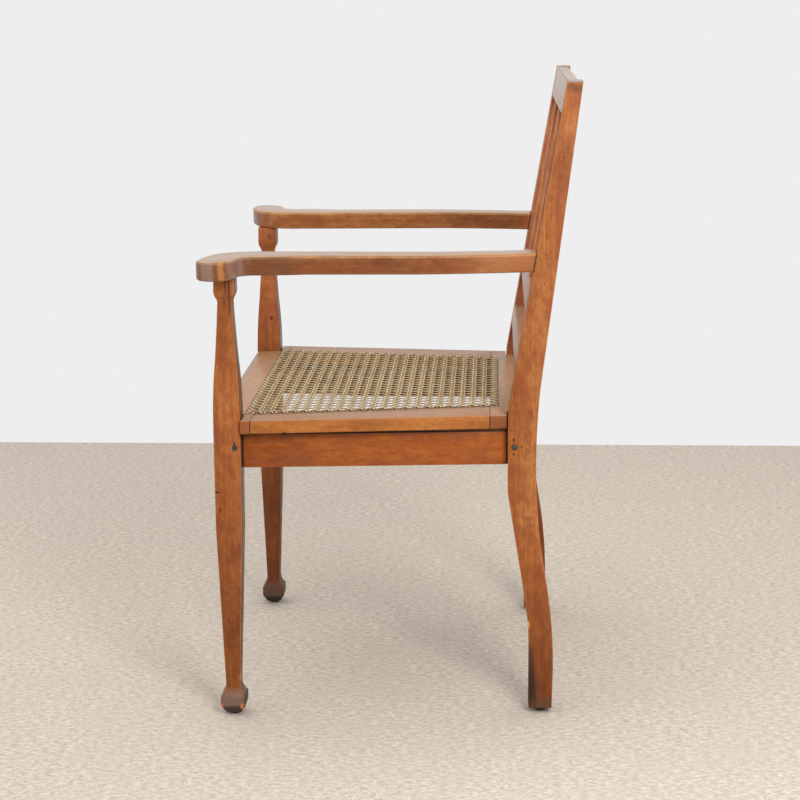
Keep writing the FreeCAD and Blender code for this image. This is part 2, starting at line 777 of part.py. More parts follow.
def canePanel():
    # the woven panel as one holed face: a solid border over the frame and rows of eight-sided gaps
    border = [(value(corner[0]), value(corner[1])) for corner in caneOutline("0")]
    lowY = value(openingFrontY)
    highY = value(openingRearY)
    pitch = value("cane_pitch")
    across = pitch - value("cane_band")
    rows = int((highY - lowY) / pitch)
    rowPitch = (highY - lowY) / rows
    holes = []
    for row in range(rows):
        y = lowY + (row + 0.5) * rowPitch
        half = value(openingEdge(str(y + rowPitch / 2)))
        count = int(half / pitch - 0.5)
        for column in range(-count, count + 1):
            holes.append(polygonWire(netHole(column * pitch, y, across), 0.0))
    face = Part.makeFace(Part.Compound([polygonWire(border, 0.0)] + holes), "Part::FaceMakerBullseye")
    panel = doc.addObject("Part::Feature", "cane_panel")
    panel.Label = "cane_panel"
    panel.Shape = face.extrude(Vector(0, 0, value("cane_thick")))
    panel.Placement = FreeCAD.Placement(Vector(0, 0, value("seat_top")), FreeCAD.Rotation())
    print("cane gaps", len(holes))


def caneBinder():
    body = newBody("cane_binder", "0", openingFrontY, "seat_top + cane_thick")
    ring = [caneOutline("0"), caneOutline("binder_wide")]
    prism(body, "Pad", "XY", ring, "seat_top + cane_thick", "seat_top + cane_thick + binder_thick")


def blockCorners(corner):
    # a corner block in the angle of two rails, its tip cut back from the leg or post
    if corner == "front":
        wall = f"({frontRailY} + front_rail_thick)"
        way = 1
        shoulder = sideRailEdge(railFrontY, "side_rail_thick")
    else:
        wall = rearRailY
        way = -1
        shoulder = postInner
    tipY = f"({wall} + {way} * (block_cut + {'0' if way > 0 else 'rear_rail_setback'}))"
    endY = f"({tipY} + {way} * (block_reach - block_cut))"
    tip = (sideRailEdge(tipY, "side_rail_thick"), tipY, "")
    end = (sideRailEdge(endY, "side_rail_thick"), endY, "")
    inner = (f"{shoulder} - block_reach", wall, "")
    outer = (f"{shoulder} - block_cut", wall, "")
    return [inner, outer, tip, end] if way > 0 else [end, tip, outer, inner]


def blockScrewSpot(corner):
    corners = blockCorners(corner)
    x = " + ".join(f"({spot[0]})" for spot in corners)
    y = " + ".join(f"({spot[1]})" for spot in corners)
    return (f"({x}) / {len(corners)}", f"({y}) / {len(corners)}")


def cornerBlock(corner):
    body = newBody(f"corner_block_{corner}_left", "post_x", postY, seatUnder)
    prism(body, "Pad", "XY", [blockCorners(corner)], f"{seatUnder} - block_high", seatUnder)
    prism(body, "Pocket", "XY", blockScrewSpot(corner), f"{seatUnder} - block_high - overrun",
          f"{seatUnder} + overrun", "screw_radius + tenon_slip")


def screwHole(body, corner, side):
    x, y = blockScrewSpot(corner)
    prism(body, "Pocket", "XY", (f"{side} * ({x})", y), f"{seatUnder} - overrun",
          f"{seatUnder} + screw_bite + tenon_free", "screw_radius + tenon_slip")


def cylinder(name, radius, length, spot, along="z", way=1):
    item = doc.addObject("Part::Cylinder", name)
    item.setExpression("Radius", bound(radius))
    item.setExpression("Height", bound(length))
    if along == "x":
        item.Placement = FreeCAD.Placement(Vector(), FreeCAD.Rotation(Vector(0, 1, 0), 90 * way))
    for axis, expression in zip("xyz", spot):
        item.setExpression(f".Placement.Base.{axis}", bound(expression))
    return item


def sixSided(name, radius, high, spot):
    # a six-sided screw head with its base at the spot
    item = doc.addObject("Part::Prism", name)
    item.setExpression("Circumradius", bound(radius))
    item.setExpression("Height", bound(high))
    for axis, expression in zip("xyz", spot):
        item.setExpression(f".Placement.Base.{axis}", bound(expression))
    return item


def dome(name, radius, rise, spot, side):
    # a low domed head on a side face, kept as a shallow cone
    item = doc.addObject("Part::Cone", name)
    item.setExpression("Radius1", bound(radius))
    item.setExpression("Radius2", bound(f"({radius}) * bolt_dome_share"))
    item.setExpression("Height", bound(rise))
    item.Placement = FreeCAD.Placement(Vector(), FreeCAD.Rotation(Vector(0, 1, 0), 90 * side))
    for axis, expression in zip("xyz", spot):
        item.setExpression(f".Placement.Base.{axis}", bound(expression))
    return item


def fused(name, items):
    union = doc.addObject("Part::MultiFuse", name)
    union.Shapes = items
    return union


def grouped(label, items):
    group = doc.addObject("Part::Compound", label)
    group.Label = label
    group.Links = items


def seatScrews():
    screws = []
    low = f"({seatUnder} - block_high)"
    for corner in ("front", "rear"):
        for side in (1, -1):
            x, y = blockScrewSpot(corner)
            spot = (f"{side} * ({x})", y, low)
            name = f"seat_screw_{corner}_{sideNames[side]}"
            shank = cylinder(f"{name}_shank", "screw_radius", "block_high + screw_bite", spot)
            headSpot = (spot[0], y, f"{low} - screw_head_high")
            head = sixSided(f"{name}_head", "screw_head_radius", "screw_head_high", headSpot)
            screws.append(fused(name, [shank, head]))
    grouped("seat_screws", screws)


def legPegs():
    pegs = []
    for side in (1, -1):
        spot = (f"{side} * (leg_x + leg_wide / 2 - peg_length + tenon_free)", pegY, "peg_z")
        pegs.append(cylinder(f"leg_peg_{sideNames[side]}", "peg_radius", "peg_length", spot, "x", side))
    grouped("leg_pegs", pegs)


def postBolts():
    bolts = []
    for side in (1, -1):
        face = f"{side} * (post_x + post_wide / 2)"
        foot = f"{side} * (post_x + post_wide / 2 - bolt_length + tenon_free)"
        name = f"post_bolt_{sideNames[side]}"
        shank = cylinder(f"{name}_shank", "bolt_radius", "bolt_length", (foot, boltY, "bolt_z"), "x", side)
        head = dome(f"{name}_head", "bolt_head_radius", "bolt_head_high", (face, boltY, "bolt_z"), side)
        bolts.append(fused(name, [shank, head]))
    grouped("post_bolts", bolts)


def glide(label, x, y):
    # a turned glide: a disc with a bevelled lower rim, on a pin driven into the foot
    body = newBody(label, x, y, "0")
    sketch = newSketch(body, "XZ", "0")
    corners = [
        ("0", "0", ""),
        ("glide_radius - glide_rim", "0", ""),
        ("glide_radius", "glide_rim", ""),
        ("glide_radius", "glide_high", ""),
        ("glide_pin_radius", "glide_high", ""),
        ("glide_pin_radius", "glide_high + glide_pin_length", ""),
        ("0", "glide_high + glide_pin_length", ""),
    ]
    drawOutline(sketch, corners)
    turned = body.newObject("PartDesign::Revolution", f"{label}_turned")
    turned.Profile = sketch
    turned.ReferenceAxis = (sketch, ["V_Axis"])
    turned.Angle = 360
    sketch.Visibility = False


def mirrorLeft():
    # the right-hand pieces are the left-hand ones across the middle plane
    lefts = [item for item in doc.Objects if item.TypeId == "PartDesign::Body" and item.Label.endswith("_left")]
    for item in lefts:
        twin = doc.addObject("Part::Mirroring", item.Name.replace("_left", "_right"))
        twin.Label = item.Label.replace("_left", "_right")
        twin.Source = item
        twin.Base = Vector()
        twin.Normal = Vector(1, 0, 0)


def buildAll():
    frontLeg()
    rearPost()
    arm()
    sideRail()
    backSlat()
    seatSide()
    cornerBlock("front")
    cornerBlock("rear")
    glide("glide_front_left", "leg_x", legFootY)
    glide("glide_rear_left", "post_x", footMiddleY)
    mirrorLeft()
    crossRail("front_rail", legInner, frontRailY, "front_rail_thick", frontTenonY)
    crossRail("rear_rail", postInner, rearRailY, "rear_rail_thick", rearTenonY)
    for label, (low, high) in backRails.items():
        backRail(label, low, high)
    seatFront()
    seatRear()
    canePanel()
    caneBinder()
    for side in (1, -1):
        screwHole(doc.getObject("seat_frame_front"), "front", side)
        screwHole(doc.getObject("seat_frame_rear"), "rear", side)
    seatScrews()
    legPegs()
    postBolts()
    doc.recompute()


def subParts():
    kinds = ("PartDesign::Body", "Part::Mirroring", "Part::Compound")
    found = [item for item in doc.Objects if item.TypeId in kinds]
    return found + [doc.getObject("cane_panel")]


def checkAll():
    for item in doc.Objects:
        if "Invalid" in item.State or "Error" in item.State:
            raise RuntimeError(f"{item.Label} failed: {item.State}")
    for body, feature in pockets:
        if feature.Shape.Volume >= feature.BaseFeature.Shape.Volume - leastCut:
            raise RuntimeError(f"{feature.Label} in {body.Label} cuts nothing")
    for item in subParts():
        if item.Shape.isNull() or not item.Shape.isValid():
            raise RuntimeError(f"{item.Label} has no valid shape")


def writeAll():
    os.makedirs("parts", exist_ok=True)
    for item in subParts():
        item.Shape.exportStep(os.path.join("parts", f"{item.Label}.step"))
        box = item.Shape.BoundBox
        print(item.Label, len(item.Shape.Solids), round(item.Shape.Volume),
              [round(size, 1) for size in (box.XMin, box.XMax, box.YMin, box.YMax, box.ZMin, box.ZMax)])


fillSheet()
buildAll()
checkAll()
writeAll()
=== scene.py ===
import math
import random

import bmesh
import bpy
from mathutils import Matrix, Vector


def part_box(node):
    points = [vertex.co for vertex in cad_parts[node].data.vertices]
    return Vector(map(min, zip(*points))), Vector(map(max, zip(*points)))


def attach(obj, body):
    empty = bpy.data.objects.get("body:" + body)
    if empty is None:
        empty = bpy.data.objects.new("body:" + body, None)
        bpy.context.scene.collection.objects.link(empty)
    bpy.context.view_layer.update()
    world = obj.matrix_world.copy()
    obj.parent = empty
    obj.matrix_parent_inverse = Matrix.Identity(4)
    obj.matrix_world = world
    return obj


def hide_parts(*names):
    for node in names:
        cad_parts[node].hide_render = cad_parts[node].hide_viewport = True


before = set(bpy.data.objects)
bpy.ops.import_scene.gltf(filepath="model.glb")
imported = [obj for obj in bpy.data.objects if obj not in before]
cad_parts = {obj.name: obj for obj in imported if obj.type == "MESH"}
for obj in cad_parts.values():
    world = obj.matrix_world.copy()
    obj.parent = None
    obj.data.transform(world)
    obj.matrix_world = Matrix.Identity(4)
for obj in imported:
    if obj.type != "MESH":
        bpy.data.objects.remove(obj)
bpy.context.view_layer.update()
print("frame loaded:", len(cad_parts), "nodes")

random.seed(17)  # for the shades of the cane strands


def colour(red, green, blue):
    # a paint value from 0 to 255 as the linear colour that Blender reads
    shares = [value / 255 for value in (red, green, blue)]
    return tuple(s / 12.92 if s <= 0.04045 else ((s + 0.055) / 1.055) ** 2.4 for s in shares) + (1.0,)


def newMaterial(name):
    material = bpy.data.materials.new(name)
    material.use_nodes = True
    tree = material.node_tree
    tree.nodes.clear()
    output = tree.nodes.new("ShaderNodeOutputMaterial")
    shader = tree.nodes.new("ShaderNodeBsdfPrincipled")
    tree.links.new(shader.outputs["BSDF"], output.inputs["Surface"])
    return material, tree, shader


def feed(tree, socket, value):
    if isinstance(value, bpy.types.NodeSocket):
        tree.links.new(value, socket)
    else:
        socket.default_value = value


def objectCoords(tree):
    return tree.nodes.new("ShaderNodeTexCoord").outputs["Object"]


def separated(tree, vector):
    node = tree.nodes.new("ShaderNodeSeparateXYZ")
    feed(tree, node.inputs[0], vector)
    return node.outputs


def mapped(tree, vector, scale=(1, 1, 1), shift=(0, 0, 0), turn=(0, 0, 0)):
    node = tree.nodes.new("ShaderNodeMapping")
    feed(tree, node.inputs["Vector"], vector)
    node.inputs["Scale"].default_value = scale
    node.inputs["Location"].default_value = shift
    node.inputs["Rotation"].default_value = turn
    return node.outputs["Vector"]


def noise(tree, vector, scale, detail, roughness, output="Fac"):
    node = tree.nodes.new("ShaderNodeTexNoise")
    feed(tree, node.inputs["Vector"], vector)
    node.inputs["Scale"].default_value = scale
    node.inputs["Detail"].default_value = detail
    node.inputs["Roughness"].default_value = roughness
    return node.outputs[output]


def grained(tree, along, fineness, detail, roughness, output="Fac"):
    # noise drawn out along X: fineness holds how fine it is along and across
    lengthwise, crosswise = fineness
    stretched = mapped(tree, along, (lengthwise, crosswise, crosswise))
    return noise(tree, stretched, 1.0, detail, roughness, output)


def sums(tree, operation, first, second=0.0, third=0.0):
    node = tree.nodes.new("ShaderNodeMath")
    node.operation = operation
    for socket, value in zip(node.inputs, (first, second, third)):
        feed(tree, socket, value)
    return node.outputs["Value"]


def times(tree, first, second):
    return sums(tree, "MULTIPLY", first, second)


def vectorSums(tree, operation, first, second=None):
    node = tree.nodes.new("ShaderNodeVectorMath")
    node.operation = operation
    feed(tree, node.inputs[0], first)
    if operation == "SCALE":
        node.inputs["Scale"].default_value = second
    elif operation != "LENGTH":
        feed(tree, node.inputs[1], second)
    return node.outputs["Value" if operation in ("LENGTH", "DOT_PRODUCT") else "Vector"]


def ranged(tree, value, low, high, toLow=0.0, toHigh=1.0):
    node = tree.nodes.new("ShaderNodeMapRange")
    node.interpolation_type = "SMOOTHSTEP"
    feed(tree, node.inputs["Value"], value)
    for name, number in zip(("From Min", "From Max", "To Min", "To Max"), (low, high, toLow, toHigh)):
        node.inputs[name].default_value = number
    return node.outputs["Result"]


def ramp(tree, value, stops):
    node = tree.nodes.new("ShaderNodeValToRGB")
    feed(tree, node.inputs["Fac"], value)
    elements = node.color_ramp.elements
    while len(elements) < len(stops):
        elements.new(0.5)
    for element, (position, paint) in zip(elements, stops):
        element.position = position
        element.color = paint
    return node.outputs["Color"]


def mixed(tree, amount, first, second, way="MIX"):
    node = tree.nodes.new("ShaderNodeMix")
    node.data_type = "RGBA"
    node.blend_type = way
    feed(tree, node.inputs[0], amount)
    feed(tree, node.inputs[6], first)
    feed(tree, node.inputs[7], second)
    return node.outputs[2]


def faceShare(tree, name):
    node = tree.nodes.new("ShaderNodeAttribute")
    node.attribute_name = name
    return node.outputs["Fac"]


def bumped(tree, shader, height, strength, depth):
    node = tree.nodes.new("ShaderNodeBump")
    node.inputs["Strength"].default_value = strength
    node.inputs["Distance"].default_value = depth
    feed(tree, node.inputs["Height"], height)
    tree.links.new(node.outputs["Normal"], shader.inputs["Normal"])


def madePiece(name, bm, material):
    # the bmesh as an object at the origin, with its finish
    mesh = bpy.data.meshes.new(name)
    bm.to_mesh(mesh)
    bm.free()
    mesh.materials.append(material)
    piece = bpy.data.objects.new(name, mesh)
    bpy.context.scene.collection.objects.link(piece)
    return piece


room = {
    "floorReach": 1.362,  # the floor ends as far away as the wall does in the photograph
    "floorPaint": colour(208, 197, 184),
    "pileDark": colour(186, 172, 156),
    "pilePale": colour(236, 225, 212),
    "pileFineness": (170.0, 84.0, 1.0),
    "backdropPaint": colour(238, 238, 239),
    "skyBehind": 0.84,    # light from the white walls behind the chair and at its front
    "skyBefore": 0.29,    # light from the dimmer room elsewhere
    "frontLean": 0.5,     # how far the lit side turns to the chair's front
}
softbox = {"place": (0.3, -0.2, 3.0), "size": 3.0, "power": 34.0}
sideFill = {"place": (1.9, 0.85, 1.55), "size": 0.7, "power": 28.0}
lampAim = Vector((0, 0, 0.45))  # the middle of the seat


def makeFloor():
    material, tree, shader = newMaterial("plainFloor")
    pile = noise(tree, mapped(tree, objectCoords(tree), room["pileFineness"]), 1.0, 4.0, 0.85)
    soft = noise(tree, objectCoords(tree), 9.0, 3.0, 0.6)
    tone = mixed(tree, ranged(tree, pile, 0.3, 0.7), room["pileDark"], room["pilePale"])
    tone = mixed(tree, ranged(tree, soft, 0.35, 0.65, 0.0, 0.35), tone, room["floorPaint"])
    feed(tree, shader.inputs["Base Color"], tone)
    shader.inputs["Roughness"].default_value = 0.95
    shader.inputs["Specular IOR Level"].default_value = 0.1
    bumped(tree, shader, pile, 0.14, 0.0015)
    bm = bmesh.new()
    bmesh.ops.create_grid(bm, x_segments=1, y_segments=1, size=room["floorReach"])
    madePiece("floor", bm, material)


def makeSky():
    world = bpy.data.worlds.new("studio")
    bpy.context.scene.world = world
    world.use_nodes = True
    tree = world.node_tree
    tree.nodes.clear()
    output = tree.nodes.new("ShaderNodeOutputWorld")
    shown = tree.nodes.new("ShaderNodeBackground")
    shown.inputs["Color"].default_value = room["backdropPaint"]
    lighting = tree.nodes.new("ShaderNodeBackground")
    lighting.inputs["Color"].default_value = (1.0, 1.0, 1.0, 1.0)
    split = separated(tree, tree.nodes.new("ShaderNodeTexCoord").outputs["Generated"])
    way = sums(tree, "MULTIPLY_ADD", split["Y"], room["frontLean"], split["X"])
    level = ranged(tree, way, -0.3, 0.7, room["skyBehind"], room["skyBefore"])
    tree.links.new(level, lighting.inputs["Strength"])
    path = tree.nodes.new("ShaderNodeLightPath")
    seen = sums(tree, "MAXIMUM", path.outputs["Is Camera Ray"], path.outputs["Is Transmission Ray"])
    choice = tree.nodes.new("ShaderNodeMixShader")
    tree.links.new(seen, choice.inputs[0])
    tree.links.new(lighting.outputs[0], choice.inputs[1])
    tree.links.new(shown.outputs[0], choice.inputs[2])
    tree.links.new(choice.outputs[0], output.inputs["Surface"])


def makeLamp(name, look):
    light = bpy.data.lights.new(name, "AREA")
    light.shape = "SQUARE"
    light.size = look["size"]
    light.energy = look["power"]
    lamp = bpy.data.objects.new(name, light)
    bpy.context.scene.collection.objects.link(lamp)
    lamp.location = look["place"]
    aim = lampAim - Vector(look["place"])
    lamp.rotation_euler = aim.to_track_quat("-Z", "Y").to_euler()


cameraLook = {
    "place": (2.75662, 0.14642, 1.06384),
    "yaw": -0.054,      # radians, from straight along -X
    "pitch": 0.228,     # radians down
    "roll": -0.009,
    "film": 36.0,       # mm wide
    "lens": 81.0,
}


def makeCamera():
    data = bpy.data.cameras.new("camera")
    data.sensor_width = cameraLook["film"]
    data.lens = cameraLook["lens"]
    camera = bpy.data.objects.new("camera", data)
    bpy.context.scene.collection.objects.link(camera)
    yaw, pitch = cameraLook["yaw"], cameraLook["pitch"]
    look = Vector((-math.cos(yaw) * math.cos(pitch), math.sin(yaw) * math.cos(pitch), -math.sin(pitch)))
    turn = look.to_track_quat("-Z", "Y").to_matrix() @ Matrix.Rotation(cameraLook["roll"], 3, "Z")
    camera.matrix_world = Matrix.Translation(cameraLook["place"]) @ turn.to_4x4()
    bpy.context.scene.camera = camera


makeFloor()
makeSky()
makeLamp("softbox", softbox)
makeLamp("sideFill", sideFill)
makeCamera()
bpy.context.scene.view_settings.view_transform = "Standard"
print("floor, light and camera made")


# turns that bring the grain's direction to X
grainTurns = {"X": (0, 0, 0), "Y": (0, 0, -math.pi / 2), "Z": (0, math.pi / 2, 0)}

# each layer of the grain: fineness along and across it, detail, roughness
grainLayers = {
    "broad": ((1.6, 52.0), 2.0, 0.5),
    "streaks": ((5.0, 260.0), 3.0, 0.6),
    "fibres": ((20.0, 1100.0), 2.0, 0.6),
    "flecks": ((130.0, 800.0), 1.0, 0.5),
    "mottle": ((75.0, 150.0), 3.0, 0.65),
    "clouds": ((7.0, 16.0), 3.0, 0.6),
    "russet": ((22.0, 42.0), 4.0, 0.6),
}
bandShares = {"broad": 0.2, "streaks": 0.18, "clouds": 0.34, "mottle": 0.28}
grainWander = {"layer": ((3.6, 7.0), 1.5, 0.5), "reach": 0.016}

# noises of the wear: fineness, detail, roughness
wear = {"patches": (38.0, 4.0, 0.65), "soil": (15.0, 5.0, 0.7)}

oldWood = {
    "deep": colour(142, 76, 34),
    "middle": colour(176, 102, 50),
    "light": colour(200, 132, 76),
    "russet": colour(150, 80, 42),
    "russetShare": 0.6,
    "fleck": colour(88, 44, 22),
    "fleckDepth": 0.8,
    "endGrain": colour(118, 62, 36),
    "endShare": 0.6,
    "innerShade": colour(88, 62, 44),      # painted shade on the faces that turn inwards
    "innerShadeShare": 0.92,
    "dustAndSheen": colour(158, 122, 96),  # pale dust and painted sheen on the tops
    "dustAndSheenShare": 0.5,
    # edges lighter by wear and by painted highlight
    "edgeWearAndHighlight": colour(204, 130, 70),
    "edgeWearAndHighlightShare": 0.6,
    "soil": colour(88, 54, 34),
    "soilShare": 0.45,
    # painted shade: the lower the wood, the darker and deeper its colour
    "lowTint": (0.56, 0.46, 0.26, 1.0),
    "tintEnds": (0.06, 0.5),
    "glossLow": 0.32,
    "glossHigh": 0.5,
    "edgeDull": 0.2,
    "coat": 0.05,
    "topCoat": 0.5,
    "coatRough": 0.22,
    "ior": 1.4,
    "bumpStrength": 0.16,
    "bumpDepth": 0.0005,
    "paleBump": 0.25,               # the pale faces are smoother
}


# what a mark on the wood has unless it says otherwise
usualMark = {
    "core": 0.5,        # the share of its reach that is fully painted
    "strength": 1.0,
    "wobble": 0.0,      # how far its outline strays
    "wobbleScale": 160.0,
    "stretch": (1, 1, 1),
    "dull": 0.2,        # added roughness
    "depth": 0.0,
    "sideOnly": False,  # keeps off the pale tops
}


def spot(at, reach, paint, **more):
    # a mark inside an ellipsoid
    return {**usualMark, "at": at, "reach": reach, "paint": paint, **more}


def seam(at, across, half, paint, **more):
    # a mark on a thin layer through a point, square to the direction across
    return {**usualMark, "core": 0.4, "at": at, "across": across, "half": half, "paint": paint, **more}


def shaken(tree, coords, shake, reach):
    # the coordinates moved about by the colours of a noise
    shake = vectorSums(tree, "SUBTRACT", shake, (0.5, 0.5, 0.5))
    return vectorSums(tree, "ADD", coords, vectorSums(tree, "SCALE", shake, reach))


def wobbled(tree, coords, mark):
    if not mark["wobble"]:
        return coords
    shake = noise(tree, mapped(tree, coords, mark["stretch"]), mark["wobbleScale"], 3.0, 0.6, "Color")
    return shaken(tree, coords, shake, mark["wobble"])


def spotShare(tree, coords, mark):
    reach = mark["reach"]
    scale = tuple(1 / r for r in reach)
    shift = tuple(-c / r for c, r in zip(mark["at"], reach))
    distance = vectorSums(tree, "LENGTH", mapped(tree, wobbled(tree, coords, mark), scale, shift))
    return ranged(tree, distance, 1.0, mark["core"], 0.0, mark["strength"])


def lineShare(tree, distance, mark):
    return ranged(tree, distance, mark["half"], mark["half"] * mark["core"], 0.0, mark["strength"])


def seamShare(tree, coords, mark):
    away = vectorSums(tree, "SUBTRACT", wobbled(tree, coords, mark), mark["at"])
    distance = sums(tree, "ABSOLUTE", vectorSums(tree, "DOT_PRODUCT", away, mark["across"]))
    return lineShare(tree, distance, mark)


def outlineShare(tree, coords, mark):
    # a thin line that runs a little outside the tapered outline of the cane
    split = separated(tree, wobbled(tree, coords, mark))
    (sideX, sideY), sideAway = mark["side"]
    depth = sums(tree, "MULTIPLY_ADD", split["Y"], sideY, -sideAway)
    beyondSide = sums(tree, "MULTIPLY_ADD", sums(tree, "ABSOLUTE", split["X"]), sideX, depth)
    beyondFront = sums(tree, "SUBTRACT", mark["front"], split["Y"])
    beyondRear = sums(tree, "SUBTRACT", split["Y"], mark["rear"])
    beyond = sums(tree, "MAXIMUM", beyondSide, sums(tree, "MAXIMUM", beyondFront, beyondRear))
    distance = sums(tree, "ABSOLUTE", sums(tree, "SUBTRACT", beyond, mark["out"]))
    return lineShare(tree, distance, mark)


def markShare(tree, coords, mark):
    if "out" in mark:
        share = outlineShare(tree, coords, mark)
    elif "across" in mark:
        share = seamShare(tree, coords, mark)
    else:
        share = spotShare(tree, coords, mark)
    if mark["sideOnly"]:
        share = times(tree, share, sums(tree, "SUBTRACT", 1.0, faceShare(tree, "top")))
    return share


def alongGrain(tree, coords, grain, seed):
    # coordinates with the grain along X, moved on for each piece and gently wandering
    shift = (seed * 0.731, seed * 0.113 + 0.09, seed * 0.057 + 0.05)
    along = mapped(tree, coords, shift=shift, turn=grainTurns[grain])
    return shaken(tree, along, grained(tree, along, *grainWander["layer"], "Color"), grainWander["reach"])


def grainTone(tree, layers, fleckShare, paints):
    bands = 0.0
    for name, share in bandShares.items():
        bands = sums(tree, "MULTIPLY_ADD", layers[name], share, bands)
    tone = ramp(tree, bands, [(0.38, paints["deep"]), (0.5, paints["middle"]), (0.62, paints["light"])])
    russetShare = ranged(tree, layers["russet"], 0.46, 0.63, 0.0, paints["russetShare"])
    tone = mixed(tree, russetShare, tone, paints["russet"])
    shade = ranged(tree, layers["fibres"], 0.3, 0.7, 0.9, 1.06)
    shadeColour = tree.nodes.new("ShaderNodeCombineColor")
    for socket in shadeColour.inputs:
        tree.links.new(shade, socket)
    tone = mixed(tree, 1.0, tone, shadeColour.outputs["Color"], "MULTIPLY")
    return mixed(tree, fleckShare, tone, paints["fleck"])


def endGrainAndShadeTone(tree, coords, tone, paints):
    # darker end grain, painted shade on the inner faces, and painted shade that deepens the colour near the
    # floor
    tone = mixed(tree, times(tree, faceShare(tree, "endGrain"), paints["endShare"]), tone, paints["endGrain"])
    tone = mixed(tree, times(tree, faceShare(tree, "inner"), paints["innerShadeShare"]), tone, paints["innerShade"])
    lowShare = ranged(tree, separated(tree, coords)["Z"], *paints["tintEnds"], 1.0, 0.0)
    return mixed(tree, lowShare, tone, mixed(tree, 1.0, tone, paints["lowTint"], "MULTIPLY"))


def woodFinish(name, grain, tones, seed, marks):
    paints = {**oldWood, **tones}
    material, tree, shader = newMaterial(name)
    coords = objectCoords(tree)
    along = alongGrain(tree, coords, grain, seed)
    layers = {key: grained(tree, along, *layer) for key, layer in grainLayers.items()}
    fleckAreas = ranged(tree, layers["clouds"], 0.4, 0.6, 0.1, 0.38)
    fleckShare = times(tree, ranged(tree, layers["flecks"], 0.6, 0.72), fleckAreas)
    tone = grainTone(tree, layers, fleckShare, paints)
    tone = endGrainAndShadeTone(tree, coords, tone, paints)

    # pale dust and painted sheen on the tops, edges lighter by wear and by painted highlight, and old soil,
    # all in patches
    patches = noise(tree, coords, *wear["patches"])
    topShare = times(tree, faceShare(tree, "top"), ranged(tree, patches, 0.25, 0.75, 0.7, 1.15))
    topShare = times(tree, topShare, ranged(tree, layers["streaks"], 0.35, 0.65, 0.78, 1.1))
    tone = mixed(tree, times(tree, topShare, paints["dustAndSheenShare"]), tone, paints["dustAndSheen"])
    edgeWearAndHighlightPatches = ranged(tree, patches, 0.38, 0.62, 0.25, paints["edgeWearAndHighlightShare"])
    tone = mixed(tree, times(tree, faceShare(tree, "edge"), edgeWearAndHighlightPatches), tone, paints["edgeWearAndHighlight"])
    soilShare = ranged(tree, noise(tree, coords, *wear["soil"]), 0.58, 0.8, 0.0, paints["soilShare"])
    tone = mixed(tree, soilShare, tone, paints["soil"])

    height = sums(tree, "MULTIPLY_ADD", fleckShare, -paints["fleckDepth"], layers["fibres"])
    roughness = ranged(tree, patches, 0.3, 0.7, paints["glossLow"], paints["glossHigh"])
    roughness = sums(tree, "MULTIPLY_ADD", faceShare(tree, "edge"), paints["edgeDull"], roughness)
    for mark in marks:
        share = markShare(tree, coords, mark)
        tone = mixed(tree, share, tone, mark["paint"])
        roughness = sums(tree, "MULTIPLY_ADD", share, mark["dull"], roughness)
        height = sums(tree, "MULTIPLY_ADD", share, -mark["depth"], height)
    feed(tree, shader.inputs["Base Color"], tone)
    feed(tree, shader.inputs["Roughness"], roughness)
    shader.inputs["IOR"].default_value = paints["ior"]
    coat = sums(tree, "MULTIPLY_ADD", topShare, paints["topCoat"], paints["coat"])
    feed(tree, shader.inputs["Coat Weight"], coat)
    shader.inputs["Coat Roughness"].default_value = paints["coatRough"]
    relief = sums(tree, "MULTIPLY_ADD", faceShare(tree, "top"), paints["paleBump"] - 1, 1.0)
    bumped(tree, shader, times(tree, height, relief), paints["bumpStrength"], paints["bumpDepth"])
    return material


# degrees between two faces, from one flat surface to a corner that gets eased
angles = {"flat": 0.2, "gentle": 0.3, "ridge": 10, "sharp": 28, "corner": 32, "crease": 38}
# how squarely a face looks along the grain, up or inwards, or down
facing = {"endGrain": 0.86, "side": 0.8, "under": -0.2}
underEdgeWearAndHighlight = 0.35  # lower edges get less wear and less painted highlight
weldDistance = 0.000002
levelWithin = 0.00001


def smoothShading(bm, easedFaces):
    # curved stretches and eased edges are smooth, flat faces stay flat
    gentle, sharp = math.radians(angles["gentle"]), math.radians(angles["sharp"])
    for face in bm.faces:
        turns = [e.calc_face_angle(0.0) for e in face.edges if len(e.link_faces) == 2]
        face.smooth = face in easedFaces or any(gentle < turn < sharp for turn in turns)
    for edge in bm.edges:
        edge.smooth = len(edge.link_faces) == 2 and edge.calc_face_angle(0.0) < math.radians(angles["crease"])


def settleFoot(bm, foot):
    # the foot comes down over its glide, and its level ridges are rounded off
    for vert in bm.verts:
        if vert.co.z < foot["height"]:
            vert.co.z -= foot["drop"]
    ridges = [
        e for e in bm.edges
        if all(foot["ridgeLow"] < v.co.z < foot["height"] for v in e.verts)
        and abs(e.verts[0].co.z - e.verts[1].co.z) < levelWithin
        and len(e.link_faces) == 2 and e.calc_face_angle() > math.radians(angles["ridge"])
    ]
    bmesh.ops.bevel(
        bm, geom=ridges, offset=foot["round"], offset_type="OFFSET", affect="EDGES",
        segments=3, profile=0.5, material=-1, clamp_overlap=True,
    )


def easeCorners(bm, ease):
    corners = [
        e for e in bm.edges
        if len(e.link_faces) == 2 and e.calc_face_angle() > math.radians(angles["corner"])
    ]
    made = bmesh.ops.bevel(
        bm, geom=corners, offset=ease, offset_type="OFFSET", affect="EDGES",
        segments=2, profile=0.5, material=-1, clamp_overlap=False,
    )
    return set(made["faces"])


